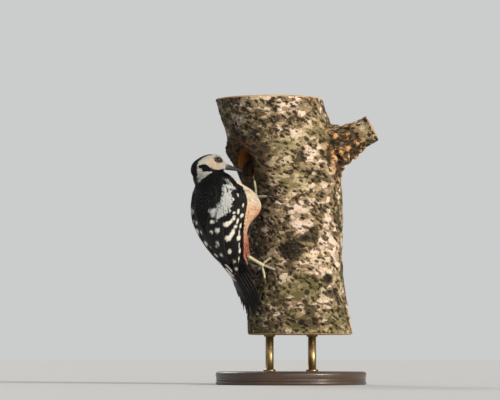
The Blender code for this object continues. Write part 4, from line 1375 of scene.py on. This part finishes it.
# %% Eyes
eye_finish = Finish("eye_wet", Roughness=0.2, Specular_IOR_Level=0.2,
                    Coat_Weight=0.7, Coat_Roughness=0.03)
from_middle = eye_finish.attribute("Iris")
streaks = eye_finish.speckle(0.0003, 3)
iris = eye_finish.blend(streaks, tone(36, 14, 9), tone(66, 28, 18))
eye_colour = eye_finish.blend(eye_finish.step(from_middle, 0.50, 0.56), tone(4, 3, 3), iris)
eye_colour = eye_finish.blend(eye_finish.step(from_middle, 0.70, 0.80), eye_colour, tone(10, 7, 6))
eye_material = eye_finish.finish(eye_colour, streaks * 0.05 + 0.08)
for side, word in ((1, "right"), (-1, "left")):
    ball = bmesh.new()
    bmesh.ops.create_uvsphere(ball, u_segments=40, v_segments=24, radius=EYE_RADIUS * 0.985)
    middle, outward, ahead, above = eye_axes(side)
    turned = Matrix((ahead, above, outward)).transposed()
    iris_share = [math.hypot(v.co.x, v.co.y) / EYE_RADIUS if v.co.z > 0 else 1.0
                  for v in ball.verts]
    for vert, share in zip(ball.verts, iris_share):
        if vert.co.z > 0:
            vert.co.z += EYE_RADIUS * 0.08 * max(0, 1 - (share / 0.7) ** 2)
    bmesh.ops.transform(ball, matrix=Matrix.Translation(middle) @ turned.to_4x4(), verts=ball.verts)
    bmesh.ops.recalc_face_normals(ball, faces=ball.faces)
    eyeball = new_piece("eyeball_" + word, ball, eye_material)
    paint(eyeball.data, "Iris", np.array(iris_share))
    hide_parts("eye_" + word)

# %% [markdown]
# ## Bill
# The bill is a chisel: straight, deep at the root, with a ridge on top, a lower ridge along
# each side that starts over the nostril, and a blunt tip. The solids give its form, so each
# half is finely remeshed, and the upper half is carved: corners sink along the groove and the
# nostril.


# %% Bill
BILL_DROOP = math.tan(math.radians(14))      # how far the bill falls for each mm along it


def along_bill(points):
    """Distance along the bill, and above its middle line, in mm."""
    forward, _, up = (v / MM for v in head_places(points))
    along = forward - 19.0
    return along, up + 1.6 + along * BILL_DROOP


bill_finish = Finish("bill_horn", Specular_IOR_Level=0.35, Coat_Weight=0.05, Coat_Roughness=0.35)
grain_of_horn = bill_finish.speckle(0.0011, 4, (0.35, 1, 1))
pale_root = bill_finish.attribute("Root")
horn = bill_finish.blend(grain_of_horn, tone(22, 22, 23), tone(48, 47, 46))
horn = bill_finish.blend(pale_root * 0.6, horn, tone(72, 68, 60))
bill_material = bill_finish.finish(horn, grain_of_horn * 0.25 + 0.36, grain_of_horn, 0.00015)
for half in ("upper", "lower"):
    bill_form = remeshed(merged_copy(("bill_" + half,)), 0.00034, 2)
    spots, normals = places_and_normals(bill_form)
    along, above = along_bill(spots)
    if half == "upper":
        groove = np.exp(-((above - (1.5 - along * 0.055) + 0.55) / 0.28) ** 2)
        groove = groove * ease(-along, -13, -2)
        nostril = np.exp(-(((along - 1.9) / 1.1) ** 2 + ((above - 0.9) / 0.35) ** 2))
        sink = (groove * 0.16 + nostril * 0.35) * MM
        move_corners(bill_form, -normals * sink[:, None])
    bill = new_piece("bill_horn_" + half, bill_form, bill_material)
    paint(bill.data, "Root", ease(-along, -7, -1) * (0.5 if half == "upper" else 1.0))
    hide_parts("bill_" + half)

# %% Bristles over the nostrils
BRISTLES = 150
BRISTLE_ROOT = 0.0178         # how far forward of the head's middle they start
draw = np.random.default_rng(61)
roots, tips = [], []
for k in range(BRISTLES):
    side = 1 if k % 2 else -1
    turn = draw.uniform(-0.5, 1.35)
    roots.append(head_point(BRISTLE_ROOT + draw.uniform(-0.0012, 0.0004),
                            side * 0.0046 * math.cos(turn), 0.0036 * math.sin(turn)))
    tips.append(head_point(BRISTLE_ROOT + draw.uniform(0.0028, 0.0052),
                           side * 0.0040 * math.cos(turn * 0.9), 0.0024 * math.sin(turn) - 0.0010))
roots, tips = np.array(roots), np.array(tips)
forward = np.array(HEAD_FORWARD)
outward = unit(roots - np.array(BILL_ROOT - HEAD_FORWARD * 0.006))
outward = unit(outward - forward * (outward @ forward)[:, None])
aside = unit(np.cross(unit(tips - roots), outward))
u, v, layer = (SMALL_VANE[0][None, :, k, None] for k in range(3))
line = roots[:, None] * (1 - v) + tips[:, None] * v + outward[:, None] * v * (1 - v) * 0.0012
line = line + aside[:, None] * u * (1 - v * 0.8) * 0.00022 + outward[:, None] * layer * 0.00006
bristle_tints = np.array(tone(206, 184, 152)) * draw.uniform(0.7, 1.1, (BRISTLES, 1))
bristle_tints = np.repeat(bristle_tints[:, None], len(SMALL_VANE[0]), 1)
sheet = chart_sheet(SMALL_VANE, draw.random((BRISTLES, 2)))
bristles = repeated("bristles", SMALL_VANE, line, bristle_tints, sheet, plumage)

# %% [markdown]
# ## Feet
# Each leg is one scaly skin over tarsus and toes: the four toes point forward, aside and
# back to hold the bark. The solids keep a small gap where they meet, so a ball fills the
# palm and a few more carry the leg up into the feathers of the thigh. A fine remesh joins
# them all, then a saw-tooth of small steps, counted from the sole outward, raises the
# broad scales on the upper side. Claws stay apart, as horn, and are rounded by a
# Subdivision Surface.

# %% Finishes of legs and claws
leg_finish = Finish("leg_scaled", Roughness=0.55, Specular_IOR_Level=0.35)
between = leg_finish.attribute("Between")
leg_mottle = leg_finish.speckle(0.0014, 3)
leg_colour = leg_finish.blend(leg_mottle, tone(168, 158, 128), tone(204, 194, 162))
seams = leg_finish.step(between, 0.55, 1.0, 0, 0.55)
leg_colour = leg_finish.blend(seams, leg_colour, tone(92, 82, 62))
leg_material = leg_finish.finish(leg_colour, leg_mottle * 0.2 + 0.42, leg_mottle, 0.00012)
claw_finish = Finish("claw_horn", Roughness=0.32, Specular_IOR_Level=0.5)
claw_grain = claw_finish.speckle(0.0007, 3)
claw_colour = claw_finish.blend(claw_grain, tone(64, 60, 54), tone(116, 110, 98))
claw_material = claw_finish.finish(claw_colour, claw_grain * 0.2 + 0.24, claw_grain, 0.00008)
print("nodes on a leg:", len(leg_finish.tree.nodes))


# %% Palm and knee
TOES = ("first", "second", "third", "fourth")
KNEE_RADIUS = 0.00140
KNEE_STEPS = (-1.2, -0.4, 0.4, 1.2, 2.0, 2.8, 3.6, 4.4)      # mm past the top of the tarsus


def ends_near(points, place, count):
    """The mean of the corners nearest to a place."""
    return points[np.argsort(np.linalg.norm(points - place, axis=1))[:count]].mean(0)


def palm(word):
    """The ball of a foot: its middle and radius, from the ends of tarsus and toes that meet."""
    tarsus = corners(frame["nodes"]["tarsus_" + word].data)
    toes = [corners(frame["nodes"][f"toe_{word}_{toe}"].data) for toe in TOES]
    foot = np.mean([toe.mean(0) for toe in toes], axis=0)
    low_end = ends_near(tarsus, foot, 24)
    ends = [ends_near(toe, low_end, 12) for toe in toes]
    middle = (low_end + np.mean(ends, axis=0)) / 2
    return Vector(middle), float(np.mean(np.linalg.norm(np.array(ends) - middle, axis=1))) * 0.9


def knee(word, ankle):
    """Balls that carry the leg on from the top of its tarsus into the feathers of the thigh."""
    tarsus = corners(frame["nodes"]["tarsus_" + word].data)
    far = tarsus[np.argsort(-np.linalg.norm(tarsus - np.array(ankle), axis=1))[:16]]
    top = far.mean(0)
    upward = unit((top - np.array(ankle))[None])[0]
    return [(Vector(top + upward * step * MM), KNEE_RADIUS) for step in KNEE_STEPS]


for word in ("right", "left"):
    print("the ball of the", word, "foot is", round(palm(word)[1] * 2000, 1), "mm across")

# %% Legs and claws
SCALE_PITCH = 0.00155
for word in ("right", "left"):
    names = ["tarsus_" + word] + [f"toe_{word}_{toe}" for toe in TOES]
    solids = merged_copy(names, 0.00018)
    ankle, palm_radius = palm(word)
    for spot, radius in [(ankle, palm_radius)] + knee(word, ankle):
        bmesh.ops.create_icosphere(solids, subdivisions=3, radius=radius,
                                   matrix=Matrix.Translation(spot))
    leg_form = remeshed(solids, 0.00036, 2)
    spots, normals = places_and_normals(leg_form)
    toe_boxes = [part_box(f"toe_{word}_{toe}") for toe in TOES]
    sole = np.mean([(np.array(low) + np.array(high)) / 2 for low, high in toe_boxes], axis=0)
    upper_side = ease(np.einsum("ij,ij->i", normals, unit(from_axis(spots))), -0.2, 0.35)
    scales = np.linalg.norm(spots - sole, axis=1) / SCALE_PITCH
    saw = scales - np.floor(scales)
    pads = np.array([noise.noise(Vector(p) / 0.0009) for p in spots])
    rise = upper_side * (0.13 * (1 - saw) - 0.06) + (1 - upper_side) * 0.10 * pads
    move_corners(leg_form, normals * (rise * MM)[:, None])
    leg = new_piece("leg_" + word, leg_form, leg_material)
    paint(leg.data, "Between", upper_side * ease(saw, 0.6, 1.0))
    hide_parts(*names)
    claw_names = [f"claw_{word}_{toe}" for toe in TOES]
    claws = new_piece("claws_" + word, merged_copy(claw_names, 0.0001), claw_material)
    rounder = claws.modifiers.new("rounder", "SUBSURF")
    rounder.levels = 2
    rounder.render_levels = 2
    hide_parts(*claw_names)

# %% [markdown]
# ## Stand
# The stand is turned and plain, so a spin makes it: a half outline goes once round the
# upright axis. The posts are brass, with a small collar where they meet base and trunk.


# %% Stand
def turned(name, outline, centre, material, steps=96):
    """Spins a half outline, as radius and height, round an upright axis."""
    bm = bmesh.new()
    verts = [bm.verts.new((radius, 0, height)) for radius, height in outline]
    edges = [bm.edges.new(pair) for pair in zip(verts, verts[1:])]
    bmesh.ops.spin(bm, geom=verts + edges, cent=(0, 0, 0), axis=(0, 0, 1), angle=2 * math.pi,
                   steps=steps, use_merge=True)
    bmesh.ops.remove_doubles(bm, verts=bm.verts, dist=1e-6)
    bmesh.ops.recalc_face_normals(bm, faces=bm.faces)
    bmesh.ops.translate(bm, vec=centre, verts=bm.verts)
    return new_piece(name, bm, material)


wood_finish = Finish("base_dark_wood", Roughness=0.4, Coat_Weight=0.35, Coat_Roughness=0.22)
long_grain = wood_finish.speckle(0.010, 4, (0.16, 1.4, 1.0), 3.0, 0.6)
pores = wood_finish.speckle(0.0014, 2, (0.10, 1.5, 1.5), 8.0)
wood = wood_finish.blend(long_grain, tone(40, 30, 24), tone(84, 60, 42))
wood = wood_finish.blend(wood_finish.step(pores, 0.55, 0.75, 0, 0.5), wood, tone(22, 16, 13))
wood_material = wood_finish.finish(wood, long_grain * 0.12 + 0.34, pores * -1.0, 0.0002)
brass_finish = Finish("post_brass", Metallic=1.0, Roughness=0.3)
brushed = brass_finish.speckle(0.0008, 3, (1, 1, 0.12))
tarnish = brass_finish.speckle(0.011, 3, (1, 1, 1), 4.0)
brass = brass_finish.blend(tarnish, tone(186, 160, 108), tone(128, 106, 70))
brass_material = brass_finish.finish(brass, brushed * 0.2 + tarnish * 0.15 + 0.18, brushed, 0.0001)

print("brushed brass and dark wood are ready")

# %% Base and posts
base_low, base_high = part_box("stand_base")
radius, top = (base_high.x - base_low.x) / 2, base_high.z
rounded = [(radius - 0.0035 + 0.0035 * math.cos(t), top - 0.0035 + 0.0035 * math.sin(t))
           for t in np.linspace(0, math.pi / 2, 8)]
bead = [(radius - 0.0016 + 0.0012 * math.cos(t), 0.0060 + 0.0012 * math.sin(t))
        for t in np.linspace(-1.2, 1.2, 5)]
outline = [(0, 0), (radius - 0.002, 0), (radius - 0.0004, 0.0006), (radius, 0.0022),
           (radius, 0.0034), (radius - 0.0016, 0.0042)]
outline += bead + [(radius - 0.0010, 0.0074)] + rounded
outline += [(radius - 0.012, top), (radius - 0.0128, top - 0.0005), (radius - 0.0136, top)]
outline += [(0, top)]
middle = ((base_low.x + base_high.x) / 2, (base_low.y + base_high.y) / 2, 0)
base = turned("base_turned", outline, middle, wood_material, 128)
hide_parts("stand_base")
for word in ("left", "right"):
    low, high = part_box("stand_rod_" + word)
    post, foot, head = (high.x - low.x) / 2, low.z, high.z
    outline = [(0, foot), (post + 0.0022, foot), (post + 0.0026, foot + 0.0005),
               (post + 0.0026, foot + 0.0016), (post + 0.0018, foot + 0.0024),
               (post, foot + 0.0028), (post, head - 0.0026), (post + 0.0016, head - 0.0020),
               (post + 0.0020, head - 0.0012), (post + 0.0020, head - 0.0004),
               (post + 0.0016, head), (0, head)]
    middle = ((low.x + high.x) / 2, (low.y + high.y) / 2, 0)
    rod = turned("post_" + word, outline, middle, brass_material, 48)
    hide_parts("stand_rod_" + word)

# %% [markdown]
# ## Room, light and camera
# A plain pale floor and soft light show the model without a story. A large lamp from the
# right is the sun's place and warms the bark, a wide one in front opens the shadows, and
# one behind draws a thin edge of light. The camera stands low and far off, with a long
# lens, and looks a little up, as one looks at a bird on a tree.

# %% Floor
floor_form = bmesh.new()
bmesh.ops.create_grid(floor_form, x_segments=8, y_segments=8, size=14)
floor_finish = Finish("floor_pale", Roughness=0.7, Specular_IOR_Level=0.2)
floor_cloud = floor_finish.speckle(0.35, 3)
floor_colour = floor_finish.blend(floor_cloud * 0.3, (0.665, 0.660, 0.650), (0.635, 0.630, 0.620))
floor = new_piece("floor", floor_form, floor_finish.finish(floor_colour))

# %% Lamps and the pale room
# name, strength, breadth in degrees, where it stands, colour
LAMPS = (
    ("lamp_key", 3.6, 12, (2.10, -1.9, 1.1), (1.0, 0.94, 0.84)),
    ("lamp_fill", 0.95, 45, (0.5, -2.7, 0.45), (0.98, 0.97, 0.96)),
    ("lamp_edge", 0.7, 20, (-0.9, 1.8, 1.5), (1.0, 0.97, 0.92)),
)
def aimed(name, data, place, target):
    """Puts a lamp or a camera in a place, turned to a target."""
    made = bpy.data.objects.new(name, data)
    made.location = place
    looking = Vector(target) - Vector(place)
    made.rotation_euler = looking.to_track_quat("-Z", "Y").to_euler()
    bpy.context.scene.collection.objects.link(made)
    print(name, "is", round(looking.length, 2), "m from where it points")
    return made


for name, power, breadth, place, colour in LAMPS:
    lamp = bpy.data.lights.new(name, "SUN")
    lamp.energy = power
    lamp.angle = math.radians(breadth)
    lamp.color = colour
    aimed(name, lamp, place, (0, 0, 0.2))
world = bpy.data.worlds.new("pale_room")
world.use_nodes = True
tree = world.node_tree
light_sky = tree.nodes["Background"]
light_sky.inputs["Color"].default_value = (0.90, 0.93, 0.96, 1)
light_sky.inputs["Strength"].default_value = 0.42
seen_sky = tree.nodes.new("ShaderNodeBackground")
seen_sky.inputs["Color"].default_value = (0.600, 0.605, 0.605, 1)
seen_sky.inputs["Strength"].default_value = 1.0
rays = tree.nodes.new("ShaderNodeLightPath")
either = tree.nodes.new("ShaderNodeMixShader")
tree.links.new(rays.outputs["Is Camera Ray"], either.inputs[0])
tree.links.new(light_sky.outputs[0], either.inputs[1])
tree.links.new(seen_sky.outputs[0], either.inputs[2])
tree.links.new(either.outputs[0], tree.nodes["World Output"].inputs["Surface"])
bpy.context.scene.world = world
bpy.context.scene.view_settings.view_transform = "Standard"

# %% Camera
camera_data = bpy.data.cameras.new("camera")
camera_data.lens = 212
bpy.context.scene.camera = aimed("camera", camera_data, (-0.05, -3.6, 0.038), (-0.05, 0, 0.2257))
